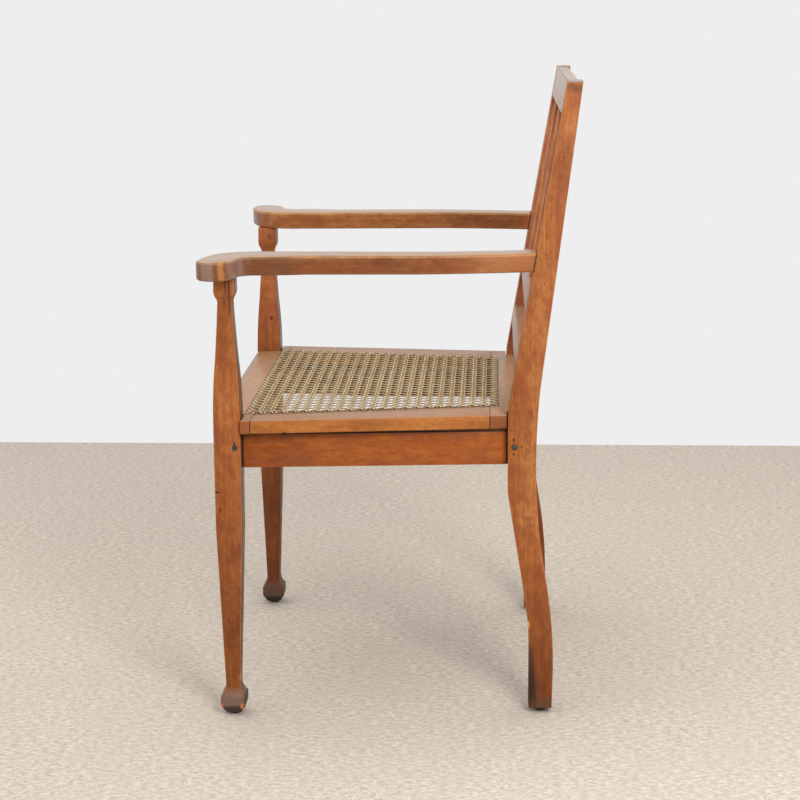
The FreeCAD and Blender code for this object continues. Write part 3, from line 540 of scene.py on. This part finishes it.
def markFaces(bm, layers, grain, look, easedFaces):
    # shares that the finish reads: edges with wear and painted highlight, end grain, tops with dust and
    # painted sheen, and inner faces with painted shade
    axis = Vector((grain == "X", grain == "Y", grain == "Z"))
    inward = Vector(look.get("inward", (0, 0, 0)))
    pale = Vector(look.get("pale", (0, 0, 1)))
    for face in bm.faces:
        edgeWearAndLight = underEdgeWearAndHighlight if face.normal.z < facing["under"] else 1.0
        face[layers["edge"]] = edgeWearAndLight if face in easedFaces else 0.0
        face[layers["endGrain"]] = float(abs(face.normal.dot(axis)) > facing["endGrain"])
        face[layers["top"]] = float(max(face.normal.z, face.normal.dot(pale)) > facing["side"])
        face[layers["inner"]] = float(face.normal.dot(inward) > facing["side"])


def woodPiece(node, grain, look, seed):
    bm = bmesh.new()
    bm.from_mesh(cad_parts[node].data)
    bmesh.ops.remove_doubles(bm, verts=bm.verts, dist=weldDistance)
    bmesh.ops.dissolve_limit(bm, angle_limit=math.radians(angles["flat"]), verts=bm.verts, edges=bm.edges)
    if "foot" in look:
        settleFoot(bm, look["foot"])
    # the layers are made before the bevel, because the set of its faces doesn't outlive a new layer
    layers = {name: bm.faces.layers.float.new(name) for name in ("edge", "endGrain", "top", "inner")}
    easedFaces = easeCorners(bm, look["ease"])
    smoothShading(bm, easedFaces)
    markFaces(bm, layers, grain, look, easedFaces)
    material = woodFinish(node + "_finish", grain, look.get("tones", {}), seed, look.get("marks", ()))
    piece = madePiece(node + "_wood", bm, material)
    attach(piece, "root")
    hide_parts(node)


darkCrack = colour(30, 16, 10)
blackStain = colour(44, 33, 28)
bareWood = colour(214, 136, 78)
oldHole = colour(66, 40, 20)
seamDark = colour(26, 14, 8)
up = (0, 0, 1)

crackLine = {"wobble": 0.001, "wobbleScale": 70.0}
footDirt = {"wobble": 0.006, "wobbleScale": 90.0, "core": 0.6}
footSoot = {"wobble": 0.005, "wobbleScale": 120.0, "core": 0.7}
bareSpot = {"wobble": 0.006, "core": 0.4}
legFoot = {"height": 0.062, "drop": 0.004, "ridgeLow": 0.010, "round": 0.0045}
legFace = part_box("front_leg_left")[1].x
foot = (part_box("glide_front_left")[0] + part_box("glide_front_left")[1]) / 2
frontLegLeft = {
    "ease": 0.0011,
    "foot": legFoot,
    "inward": (0, 1, 0),
    "tones": {
        "deep": colour(148, 79, 34), "middle": colour(184, 106, 51), "light": colour(207, 136, 75),
        # painted shade on the leg's rear faces
        "innerShade": colour(72, 52, 40), "innerShadeShare": 0.75,
    },
    "marks": [
        # cracks under the arm
        spot((0.262, -0.2292, 0.644), (0.012, 0.001, 0.029), darkCrack, **crackLine, depth=3.0),
        spot((0.260, -0.2298, 0.618), (0.012, 0.0007, 0.022), darkCrack, **crackLine, depth=2.0),
        spot((0.262, -0.2342, 0.650), (0.012, 0.0009, 0.023), darkCrack, **crackLine, depth=2.0),
        spot((0.260, -0.2368, 0.626), (0.012, 0.0006, 0.011), darkCrack,
             wobble=0.0012, wobbleScale=70.0, depth=2.0),
        spot((0.260, -0.232, 0.635), (0.012, 0.0075, 0.033), colour(104, 60, 36), wobble=0.003, strength=0.1),
        # on the outer face: a cut, two knots, and a crack and a bruise by the peg
        spot((legFace, -0.2550, 0.3469), (0.008, 0.0068, 0.0017), darkCrack, wobble=0.002, strength=0.9),
        spot((legFace, -0.2511, 0.3198), (0.008, 0.0020, 0.0056), colour(86, 40, 24),
             wobble=0.002, core=0.3, strength=0.85),
        spot((legFace, -0.2448, 0.1691), (0.008, 0.0013, 0.0024), colour(92, 44, 26),
             wobble=0.002, core=0.2, strength=0.8),
        spot((legFace, -0.2268, 0.4175), (0.004, 0.0019, 0.0068), colour(66, 38, 22),
             wobble=0.001, strength=0.85),
        spot((legFace, -0.2360, 0.3985), (0.004, 0.006, 0.006), colour(130, 66, 42),
             wobble=0.004, strength=0.4),
        # the ankle's bare streak, the worn foot, bare wood on its corners and painted shade on its rear flank
        spot((0.26, -0.229, 0.06), (0.012, 0.0028, 0.0085), bareWood, wobble=0.002, core=0.3, strength=0.75),
        spot((foot.x, foot.y, 0.012), (0.045, 0.045, 0.0365), colour(132, 104, 90),
             **footDirt, strength=0.92),
        spot((foot.x, foot.y, 0.002), (0.045, 0.045, 0.018), colour(72, 58, 50),
             **footSoot, strength=0.85),
        spot((legFace, -0.2588, 0.0142), (0.012, 0.0048, 0.008), bareWood, **bareSpot),
        spot((foot.x, -0.219, 0.022), (0.045, 0.0085, 0.036), colour(62, 48, 38),
             wobble=0.004, strength=0.75),
        spot((legFace, -0.2278, 0.0148), (0.012, 0.0038, 0.0075), bareWood, **bareSpot),
    ],
}
frontLegRight = {
    "ease": 0.0011,
    "foot": legFoot,
    "inward": (0, 1, 0),
    "tones": {
        "deep": colour(134, 68, 32), "middle": colour(170, 94, 48), "light": colour(194, 122, 68),
        # painted shade on the leg's rear faces
        "innerShade": colour(72, 52, 40), "innerShadeShare": 0.75, "edgeWearAndHighlightShare": 0.35,
    },
    "marks": [
        # two knots and the worn foot
        spot((-0.2305, -0.2324, 0.6497), (0.008, 0.0046, 0.007), colour(80, 42, 26), wobble=0.004, core=0.3),
        spot((-0.2305, -0.2319, 0.5117), (0.008, 0.0044, 0.0056), colour(76, 38, 24), wobble=0.004, core=0.2),
        spot((-foot.x, foot.y, 0.012), (0.045, 0.045, 0.034), colour(96, 74, 62), **footDirt, strength=0.85),
        spot((-foot.x, foot.y, 0.002), (0.045, 0.045, 0.015), colour(52, 42, 36), **footSoot, strength=0.9),
    ],
}
woodPiece("front_leg_left", "Z", frontLegLeft, seed=3)
woodPiece("front_leg_right", "Z", frontLegRight, seed=8)
print("front legs finished")

dripping = {"wobble": 0.014, "wobbleScale": 240.0, "stretch": (1, 1, 0.1)}
bruise = colour(104, 56, 28)
bruised = {"wobble": 0.010, "wobbleScale": 110.0, "core": 0.1}
# a pale grey band round the post's top: dust and painted sheen
postTop = seam((0, 0.254, 0.93), up, 0.003, colour(160, 150, 134), strength=0.85, wobble=0.0008, dull=0.2)
postKnots = ((0.2189, 0.6897), (0.2163, 0.6479), (0.2465, 0.8374), (0.2416, 0.8258))
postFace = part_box("rear_post_left")[1].x
rearPostLeft = {
    "ease": 0.0011,
    "tones": {
        "deep": colour(136, 71, 28), "middle": colour(172, 98, 44), "light": colour(197, 127, 68),
        "russet": colour(152, 76, 38), "lowTint": (0.56, 0.48, 0.3, 1.0), "tintEnds": (0.0, 0.3),
        "coat": 0.0, "glossLow": 0.55, "glossHigh": 0.7,
    },
    "marks": [
        # the worn foot, the stain that ran down to it and a chip above
        spot((postFace, 0.2150, 0.006), (0.04, 0.05, 0.028), colour(100, 76, 58),
             wobble=0.010, wobbleScale=70.0, core=0.3, strength=0.75),
        spot((postFace, 0.2000, 0.045), (0.02, 0.0124, 0.045), blackStain,
             **dripping, core=0.4, strength=0.88),
        spot((postFace, 0.1985, 0.085), (0.02, 0.0075, 0.038), colour(70, 50, 38),
             **dripping, core=0.2, strength=0.8),
        spot((postFace, 0.1968, 0.1395), (0.008, 0.0022, 0.008), colour(232, 158, 88), wobble=0.002),
        # old holes round the bolt, and a dark rim round it: painted shade of the recess the bolt sits in
        spot((postFace, 0.1740, 0.4205), (0.005, 0.0027, 0.0025), oldHole, core=0.3, depth=2.0),
        spot((postFace, 0.1858, 0.4101), (0.005, 0.0028, 0.0028), colour(96, 62, 26),
             core=0.2, depth=1.0, strength=0.85),
        spot((postFace, 0.1739, 0.3989), (0.005, 0.0027, 0.0025), oldHole,
             core=0.2, depth=1.0, strength=0.85),
        spot((postFace, 0.1750, 0.4095), (0.005, 0.0050, 0.0052), darkCrack, core=0.8, strength=0.9),
        # bruises below, soil at the top and knots between
        spot((postFace, 0.1938, 0.3035), (0.006, 0.013, 0.0056), bruise, **bruised, strength=0.5),
        spot((postFace, 0.1982, 0.2914), (0.006, 0.011, 0.0046), bruise, **bruised, strength=0.4),
        spot((postFace, 0.2560, 0.9200), (0.012, 0.0180, 0.0090), colour(110, 76, 52),
             wobble=0.018, wobbleScale=60.0, core=0.3, strength=0.7),
        *(spot((postFace, y, z), (0.006, 0.0015, 0.0025), colour(98, 46, 28),
               wobble=0.002, core=0.2, strength=0.8) for y, z in postKnots),
        postTop,
    ],
}
rearPostRight = {"ease": 0.0011, "tones": frontLegRight["tones"], "marks": [postTop]}
woodPiece("rear_post_left", "Z", rearPostLeft, seed=5)
woodPiece("rear_post_right", "Z", rearPostRight, seed=11)
print("rear posts finished")

# the dark joint where the arm's slanted end meets the post
armEnd = seam((0, 0.2005, 0.6647), (0, 0.986, -0.169), 0.0022, seamDark, strength=0.85, wobble=0.0006)
armTones = {
    "deep": colour(112, 62, 32), "middle": colour(146, 86, 46), "light": colour(174, 112, 64),
    "dustAndSheen": colour(174, 142, 104), "dustAndSheenShare": 0.65, "edgeWearAndHighlight": colour(196, 150, 90), "edgeWearAndHighlightShare": 0.7,
    "paleBump": 0.05, "coat": 0.15, "topCoat": 0.35, "glossLow": 0.24, "glossHigh": 0.4,
}
rearward = (0, 1, 0)
greySheen = colour(160, 130, 118)
sheen = {"wobble": 0.005, "wobbleScale": 60.0, "sideOnly": True}
armLeft = {
    "ease": 0.0011,
    "tones": armTones,
    "marks": [
        # the darker front half, with painted grey sheen on the grip and a brighter orange stripe between the
        # sheens
        spot((0.27, -0.185, 0.67), (0.08, 0.07, 0.05), colour(104, 66, 42),
             wobble=0.008, wobbleScale=40.0, strength=0.5, sideOnly=True),
        seam((0, -0.2490, 0), rearward, 0.0115, greySheen, **sheen, strength=0.8, dull=-0.05),
        seam((0, -0.2135, 0), rearward, 0.0125, greySheen, **sheen, strength=0.6, dull=-0.05),
        seam((0, -0.2300, 0), rearward, 0.0052, colour(200, 132, 72), **sheen, strength=0.7),
        # the lighter rear end
        spot((0.26, 0.19, 0.68), (0.04, 0.11, 0.03), colour(196, 124, 72),
             wobble=0.012, wobbleScale=70.0, core=0.2, strength=0.55, sideOnly=True),
        armEnd,
    ],
}
armRight = {
    "ease": 0.0011,
    "tones": {
        **armTones,
        "deep": colour(124, 72, 34), "middle": colour(162, 100, 52), "light": colour(190, 126, 70),
    },
    "marks": [armEnd],
}
woodPiece("arm_left", "Y", armLeft, seed=6)
woodPiece("arm_right", "Y", armRight, seed=13)
print("arms finished")

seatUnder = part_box("seat_frame_left")[0].z
lineDrop = 0.0046  # the seat frame's edge hides the top of the rail, so the rail's painted shadow line starts lower
# painted shadow on the rail just under the overhanging seat frame
railTopShadow = seam((0, 0, seatUnder - lineDrop), up, 0.0017, seamDark, strength=0.95, wobble=0.001)
apronRail = {
    "ease": 0.0009,
    "tones": {"deep": colour(146, 73, 24), "middle": colour(177, 92, 32), "light": colour(198, 114, 48)},
    "marks": [railTopShadow],
}
# the rails' inner faces, under the seat, take painted shade
for node, grain, inward, seed in (
    ("side_rail_left", "Y", (-1, 0, 0), 21),
    ("side_rail_right", "Y", (1, 0, 0), 22),
    ("front_rail", "X", (0, 1, 0), 23),
    ("rear_rail", "X", (0, -1, 0), 24),
):
    woodPiece(node, grain, {**apronRail, "inward": inward}, seed)

# dark blocks of painted shade that close the open joints at the ends of the side rails
jointGapShade = {
    "boxes": [  # each between two corners, on the left side
        ((0.2305, -0.2188, 0.3806), (0.2495, -0.2163, 0.4350)),
        ((0.2045, 0.1633, 0.3806), (0.2236, 0.1657, 0.4350)),
    ],
    "shadeSpeckle": colour(58, 42, 32),
}


def makeJointGapShade():
    material, tree, shader = newMaterial("joint_gap_shade_finish")
    shadeSpeckles = noise(tree, objectCoords(tree), 600.0, 3.0, 0.6)
    feed(tree, shader.inputs["Base Color"], mixed(tree, shadeSpeckles, seamDark, jointGapShade["shadeSpeckle"]))
    shader.inputs["Roughness"].default_value = 0.9
    bumped(tree, shader, shadeSpeckles, 0.4, 0.0004)
    bm = bmesh.new()
    for low, high in jointGapShade["boxes"]:
        low, high = Vector(low), Vector(high)
        for side in (-1, 1):
            middle = (low + high) / 2 * Vector((side, 1, 1))
            place = Matrix.Translation(middle) @ Matrix.Diagonal((*(high - low), 1))
            bmesh.ops.create_cube(bm, size=1, matrix=place)
    piece = madePiece("joint_gap_shade", bm, material)
    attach(piece, "root")


makeJointGapShade()
print("apron rails finished")

panelCorners = [v.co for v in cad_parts["cane_panel"].data.vertices]
panelLow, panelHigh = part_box("cane_panel")
atEdge = 0.001  # a corner this close to the panel's edge lies on it
frontHalf = max(c.x for c in panelCorners if c.y < panelLow.y + atEdge)
rearHalf = max(c.x for c in panelCorners if c.y > panelHigh.y - atEdge)
sideSlope = (frontHalf - rearHalf) / (panelHigh.y - panelLow.y)
sideAcross = Vector((1, sideSlope)).normalized()

# the thin dark line outside the cane: painted shade of the step down to the cane, over a shallow groove in
# the bump
caneEdgeShade = {
    **usualMark,
    "side": (tuple(sideAcross), sideAcross.x * frontHalf + sideAcross.y * panelLow.y),
    "front": panelLow.y, "rear": panelHigh.y, "out": 0.0019, "half": 0.0009, "core": 0.4,
    "paint": seamDark, "strength": 0.85, "wobble": 0.0004, "depth": 2.0,
}
seatJoint = {"strength": 0.85, "wobble": 0.0004, "sideOnly": True}
seatMember = {
    "ease": 0.0012,
    "tones": {
        "deep": colour(166, 94, 38), "middle": colour(194, 118, 52), "light": colour(212, 138, 72),
        "dustAndSheen": colour(166, 136, 108), "dustAndSheenShare": 0.8, "edgeWearAndHighlightShare": 0.25, "russetShare": 0.25,
        "coat": 0.04, "topCoat": 0.2, "glossLow": 0.4, "glossHigh": 0.6,
    },
    "marks": [
        # painted shadow along the frame's lower edge, where it overhangs the rails
        seam((0, 0, seatUnder), up, 0.0016, seamDark, strength=0.95, wobble=0.0006),
        caneEdgeShade,
        seam((0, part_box("seat_frame_front")[1].y, 0), rearward, 0.0011, seamDark, **seatJoint),
        seam((0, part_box("seat_frame_rear")[0].y, 0), rearward, 0.0011, seamDark, **seatJoint),
        spot((0.268, -0.1549, 0.4358), (0.006, 0.0038, 0.0022), seamDark, wobble=0.001),
    ],
}
for node, grain, endTone, seed in (
    ("seat_frame_front", "X", colour(150, 84, 50), 31),
    ("seat_frame_rear", "X", colour(112, 62, 42), 32),
    ("seat_frame_left", "Y", oldWood["endGrain"], 33),
    ("seat_frame_right", "Y", oldWood["endGrain"], 34),
):
    tones = {**seatMember["tones"], "endGrain": endTone}
    woodPiece(node, grain, {**seatMember, "tones": tones}, seed)
print("seat frame finished")

backRail = {
    "ease": 0.0010,
    "pale": (0, -1, 0),  # the rails' sloping front faces get the same dust and painted sheen as the tops
    "tones": {
        "dustAndSheen": colour(158, 130, 108), "dustAndSheenShare": 0.75, "russetShare": 0.2,
        "edgeWearAndHighlight": colour(206, 160, 122), "edgeWearAndHighlightShare": 0.6,
        "paleBump": 0.04, "coat": 0.05, "topCoat": 0.1, "glossLow": 0.34, "glossHigh": 0.46,
    },
}
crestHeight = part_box("crest_rail")[1].z
crestRail = {
    **backRail,
    "tones": {
        **backRail["tones"],
        # the crest's front and top are nearly white: pale dust and painted sheen
        "dustAndSheen": colour(204, 191, 182), "dustAndSheenShare": 0.95,
        "coat": 0.0, "topCoat": 0.0, "glossLow": 0.5, "glossHigh": 0.62,
    },
    "marks": [
        # a painted grey sheen along the crest's top edge
        seam((0, 0, crestHeight), up, 0.0036, colour(178, 168, 154), strength=0.85, wobble=0.0012, dull=0.35),
    ],
}
backSlat = {
    "ease": 0.0010,
    "tones": {
        # the slats' edges take a pale peach: wear and painted highlight
        "edgeWearAndHighlight": colour(228, 164, 116), "edgeWearAndHighlightShare": 0.9, "coat": 0.0, "glossLow": 0.55, "glossHigh": 0.75,
    },
}
woodPiece("crest_rail", "X", crestRail, seed=41)
woodPiece("mid_back_rail", "X", backRail, seed=42)
woodPiece("lower_back_rail", "X", backRail, seed=43)
woodPiece("back_slat_left", "Z", backSlat, seed=44)
woodPiece("back_slat_right", "Z", backSlat, seed=45)
print("back finished")

chairCorners = [f"{end}_{side}" for end in ("front", "rear") for side in ("left", "right")]
cornerBlock = {"ease": 0.0008, "tones": {"middle": colour(140, 82, 44), "glossLow": 0.6, "glossHigh": 0.8}}
for seed, corner in enumerate(chairCorners, 51):
    woodPiece("corner_block_" + corner, "X", cornerBlock, seed)
print("corner blocks finished")

cane = {
    "rowsAlongSeat": 22,
    "strandWide": 0.0023,
    "strandThick": 0.00045,
    "diagonalWide": 0.0020,
    "pairHalfGap": 0.0024,
    "pinch": 0.3,     # a pair closes to this share of its gap at the holes
    "rise": 0.00055,
    "diagonalRise": 0.00045,
    "stepsPerCell": 6,
    "shortest": 0.6,  # of a cell
    "crown": 0.72,    # a strand's top is this share of its width
    "tones": [(0.12, colour(190, 150, 92)), (0.5, colour(228, 196, 138)), (0.85, colour(246, 226, 182))],
    "fibre": colour(150, 106, 56),
    "stain": colour(128, 90, 50),
    "rim": colour(66, 44, 24),
    "ior": 1.5,
}
binder = {
    "wide": 0.0062,
    "high": 0.0020,
    "round": 0.0007,
    "stitchWide": 0.0025,
    "stitchThick": 0.0006,
    "stitchReach": 1.4,     # times the binder's width
    "stitchEnd": 0.45,      # times the binder's height, at the stitch's ends
    "stitchArch": 0.62,     # times the binder's height, from the ends to its middle
    "stitchShade": 0.65,    # the darkest one; 1 is the palest cane
    "stitchTurn": 0.62,     # radians, this way and that way in turn
}

inset = binder["wide"] / 2
holeFront = panelLow.y + inset
holeRear = panelHigh.y - inset
cell = (holeRear - holeFront) / cane["rowsAlongSeat"]
wave = 2 * math.pi / cell
columns = int(frontHalf / cell)
midHeight = (panelLow.z + panelHigh.z) / 2
print("cane cell", round(cell * 1000, 2), "mm, half widths", round(frontHalf, 4), round(rearHalf, 4))


def sideHole(y):
    # half width between the side hole rows at this depth
    return frontHalf - sideSlope * (y - panelLow.y) - inset


def clipped(point, direction):
    # the part of a line that lies inside the four hole rows, if it is long enough for a strand
    low, high = -math.inf, math.inf
    walls = [((0, -1), -holeFront), ((0, 1), holeRear)]
    walls += [((side, sideSlope), frontHalf - inset + sideSlope * panelLow.y) for side in (-1, 1)]
    for (a, b), limit in walls:
        speed = a * direction[0] + b * direction[1]
        space = limit - (a * point[0] + b * point[1])
        if abs(speed) < 1e-9:
            if space < 0:
                return None
        elif speed > 0:
            high = min(high, space / speed)
        else:
            low = max(low, space / speed)
    if high - low < cell * cane["shortest"]:
        return None
    start = Vector((*point, midHeight))
    return [start + Vector((*direction, 0)) * way for way in (low, high)]


def caneBar(axis, cuts, darkest=0.0):
    # a bar of unit size, cut across its length, in one shade of cane, with painted shade on its sides and
    # underside
    bar = bmesh.new()
    bmesh.ops.create_cube(bar, size=1)
    lengthwise = [e for e in bar.edges if abs(e.verts[0].co[axis] - e.verts[1].co[axis]) > 0.5]
    bmesh.ops.subdivide_edges(bar, edges=lengthwise, cuts=cuts, use_grid_fill=True)
    toneLayer = bar.faces.layers.float.new("tone")
    rimLayer = bar.faces.layers.float.new("rim")
    shade = darkest + (1 - darkest) * random.random()
    for face in bar.faces:
        face.smooth = True
        face[toneLayer] = shade
        face[rimLayer] = 0.0 if face.normal.z > 0.5 else 1.0
    return bar


def addBar(bm, bar):
    mesh = bpy.data.meshes.new("bar")
    bar.to_mesh(mesh)
    bar.free()
    bm.from_mesh(mesh)
    bpy.data.meshes.remove(mesh)


def addStrand(bm, ends, wide, lift, aside=0.0):
    # a strand between two holes; aside moves its middle to the left of its way
    start, end = ends
    length = (end - start).length
    forward = (end - start).normalized()
    sideways = Vector((-forward.y, forward.x, 0))
    bar = caneBar(0, max(3, round(length / cell * cane["stepsPerCell"])))
    for vert in bar.verts:
        place = (vert.co.x + 0.5) * length
        nearEnd = min(place, length - place, cell) / cell
        spread = aside * (cane["pinch"] + (1 - cane["pinch"]) * math.sin(nearEnd * math.pi / 2))
        crown = cane["crown"] if vert.co.z > 0 else 1.0
        middle = start + forward * place + sideways * (spread + vert.co.y * wide * crown)
        height = lift(middle) + vert.co.z * cane["strandThick"]
        vert.co = Vector((middle.x, middle.y, midHeight + height))
    addBar(bm, bar)


def caneFinish(name, turn):
    # turn brings the strand's direction to X
    material, tree, shader = newMaterial(name)
    coords = objectCoords(tree)
    along = mapped(tree, coords, turn=(0, 0, turn))
    fibres = grained(tree, along, (18.0, 1500.0), 2.0, 0.6)
    stains = grained(tree, along, (30.0, 60.0), 3.0, 0.6)
    share = sums(tree, "MULTIPLY_ADD", faceShare(tree, "tone"), 0.45, times(tree, stains, 0.6))
    tone = ramp(tree, share, cane["tones"])
    tone = mixed(tree, ranged(tree, fibres, 0.35, 0.75, 0.0, 0.3), tone, cane["fibre"])
    old = ranged(tree, noise(tree, coords, 30.0, 3.0, 0.6), 0.55, 0.75, 0.0, 0.35)
    tone = mixed(tree, old, tone, cane["stain"])
    # faces marked rim are darkened: painted shade on the strands' sides and undersides; the binder is
    # darkened all over
    tone = mixed(tree, times(tree, faceShare(tree, "rim"), 0.8), tone, cane["rim"])
    feed(tree, shader.inputs["Base Color"], tone)
    feed(tree, shader.inputs["Roughness"], ranged(tree, fibres, 0.3, 0.7, 0.3, 0.5))
    shader.inputs["IOR"].default_value = cane["ior"]
    bumped(tree, shader, fibres, 0.3, 0.0003)
    return material


def canePiece(name, bm, material, replaced=None):
    piece = madePiece(name, bm, material)
    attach(piece, "root")
    if replaced:
        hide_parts(replaced)


def weaveFrontToBack():
    bm = bmesh.new()
    for column in range(-columns, columns + 1):
        ends = clipped((column * cell, 0), (0, 1))
        if ends:
            for side in (-1, 1):
                rise = side * cane["rise"]
                # the left of a strand that runs along +Y is -X
                addStrand(bm, ends, cane["strandWide"],
                          lambda p: rise * math.sin(wave * (p.y - holeFront)), -side * cane["pairHalfGap"])
    canePiece("cane_front_to_back", bm, caneFinish("caneAlongY", -math.pi / 2), "cane_panel")


def weaveSideToSide():
    bm = bmesh.new()
    for row in range(1, cane["rowsAlongSeat"]):
        ends = clipped((0, holeFront + row * cell), (1, 0))
        if ends:
            for side in (-1, 1):
                rise = -side * cane["rise"]
                addStrand(bm, ends, cane["strandWide"],
                          lambda p: rise * math.sin(wave * p.x), side * cane["pairHalfGap"])
    canePiece("cane_side_to_side", bm, caneFinish("caneAlongX", 0.0))


def weaveDiagonals(slope, name):
    bm = bmesh.new()
    rise = slope * cane["diagonalRise"]
    for line in range(-3 * columns, 3 * columns):
        ends = clipped(((line + 0.5) * cell, holeFront), (1, slope))
        if ends:
            addStrand(bm, ends, cane["diagonalWide"], lambda p: rise * math.cos(wave * p.x))
    canePiece(name, bm, caneFinish("caneSlope" + str(slope), -slope * math.pi / 4))


weaveFrontToBack()
weaveSideToSide()
weaveDiagonals(1, "cane_diagonal_rising")
weaveDiagonals(-1, "cane_diagonal_falling")
print("cane woven")


def makeBinder():
    # a flat ring over the row of holes, rounded on top
    front = [(-frontHalf, panelLow.y), (frontHalf, panelLow.y)]
    rear = [(rearHalf, panelHigh.y), (-rearHalf, panelHigh.y)]
    bm = bmesh.new()
    face = bm.faces.new([bm.verts.new((x, y, panelLow.z)) for x, y in front + rear])
    bmesh.ops.inset_region(bm, faces=[face], thickness=binder["wide"], use_even_offset=True)
    bmesh.ops.delete(bm, geom=[face], context="FACES_ONLY")
    raised = bmesh.ops.extrude_face_region(bm, geom=list(bm.faces))
    raisedVerts = [g for g in raised["geom"] if isinstance(g, bmesh.types.BMVert)]
    bmesh.ops.translate(bm, vec=(0, 0, binder["high"]), verts=raisedVerts)
    bmesh.ops.recalc_face_normals(bm, faces=bm.faces)
    half = panelLow.z + binder["high"] / 2
    top = [e for e in bm.edges if all(v.co.z > half for v in e.verts) and e.calc_face_angle(0.0) > 1.0]
    bmesh.ops.bevel(
        bm, geom=top, offset=binder["round"], offset_type="OFFSET", affect="EDGES",
        segments=3, profile=0.5, material=-1,
    )
    toneLayer = bm.faces.layers.float.new("tone")
    rimLayer = bm.faces.layers.float.new("rim")
    for face in bm.faces:
        face.smooth = True
        face[toneLayer] = 0.0
        face[rimLayer] = 1.0
    for edge in bm.edges:
        edge.smooth = edge.calc_face_angle(0.0) < math.radians(angles["crease"])
    return bm


def addStitch(bm, place, turn):
    # a short loop of cane over the binder
    bar = caneBar(1, 3, darkest=binder["stitchShade"])
    for vert in bar.verts:
        arch = 1 - (vert.co.y * 2) ** 2
        lift = binder["high"] * (binder["stitchEnd"] + binder["stitchArch"] * arch)
        vert.co.z = vert.co.z * binder["stitchThick"] + lift
        vert.co.x *= binder["stitchWide"]
        vert.co.y *= binder["wide"] * binder["stitchReach"]
    laid = Matrix.Translation(place) @ Matrix.Rotation(turn, 4, "Z")
    bmesh.ops.transform(bar, matrix=laid, verts=bar.verts)
    addBar(bm, bar)


bm = makeBinder()
sideTurn = math.atan(sideSlope)
for row in range(1, 2 * cane["rowsAlongSeat"]):
    y = holeFront + row * cell / 2
    lean = binder["stitchTurn"] * (-1) ** row
    for side in (-1, 1):
        addStitch(bm, (side * sideHole(y), y, panelLow.z), math.pi / 2 + side * sideTurn + lean)
for y in (holeFront, holeRear):
    reach = int(2 * sideHole(y) / cell)
    for column in range(-reach, reach + 1):
        addStitch(bm, (column * cell / 2, y, panelLow.z), binder["stitchTurn"] * (-1) ** column)
canePiece("cane_edge_binder", bm, caneFinish("caneBinder", 0.0), "cane_binder")
print("binder laid")


def plainFinish(name, look):
    material, tree, shader = newMaterial(name)
    spots = noise(tree, objectCoords(tree), look["fineness"], 4.0, 0.65)
    feed(tree, shader.inputs["Base Color"], mixed(tree, ranged(tree, spots, 0.35, 0.65), *look["paints"]))
    feed(tree, shader.inputs["Roughness"], ranged(tree, spots, 0.3, 0.7, look["rough"], look["rough"] + 0.2))
    shader.inputs["Metallic"].default_value = look["metal"]
    bumped(tree, shader, spots, 0.25, 0.0004)
    return material


peg = {"paints": (colour(40, 42, 42), colour(74, 70, 64)), "rough": 0.6, "metal": 0.0, "fineness": 900.0}
bolt = {"paints": (colour(74, 72, 72), colour(112, 108, 106)), "rough": 0.4, "metal": 0.8, "fineness": 700.0}
screw = {"paints": (colour(120, 112, 100), colour(90, 82, 72)), "rough": 0.4, "metal": 0.8, "fineness": 700.0}
glide = {"paints": (colour(44, 38, 36), colour(74, 64, 58)), "rough": 0.45, "metal": 0.3, "fineness": 500.0}
fittings = {
    "leg_pegs": ("peg_wood", plainFinish("darkPeg", peg)),
    "post_bolts": ("steel", plainFinish("boltMetal", bolt)),
    "seat_screws": ("steel", plainFinish("screwMetal", screw)),
}
glideFinish = plainFinish("glideMetal", glide)
for corner in chairCorners:
    fittings["glide_" + corner] = ("glide", glideFinish)
for node, (slotName, material) in fittings.items():
    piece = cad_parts[node]
    piece.data.materials.clear()
    piece.data.materials.append(material)
print("fittings finished")
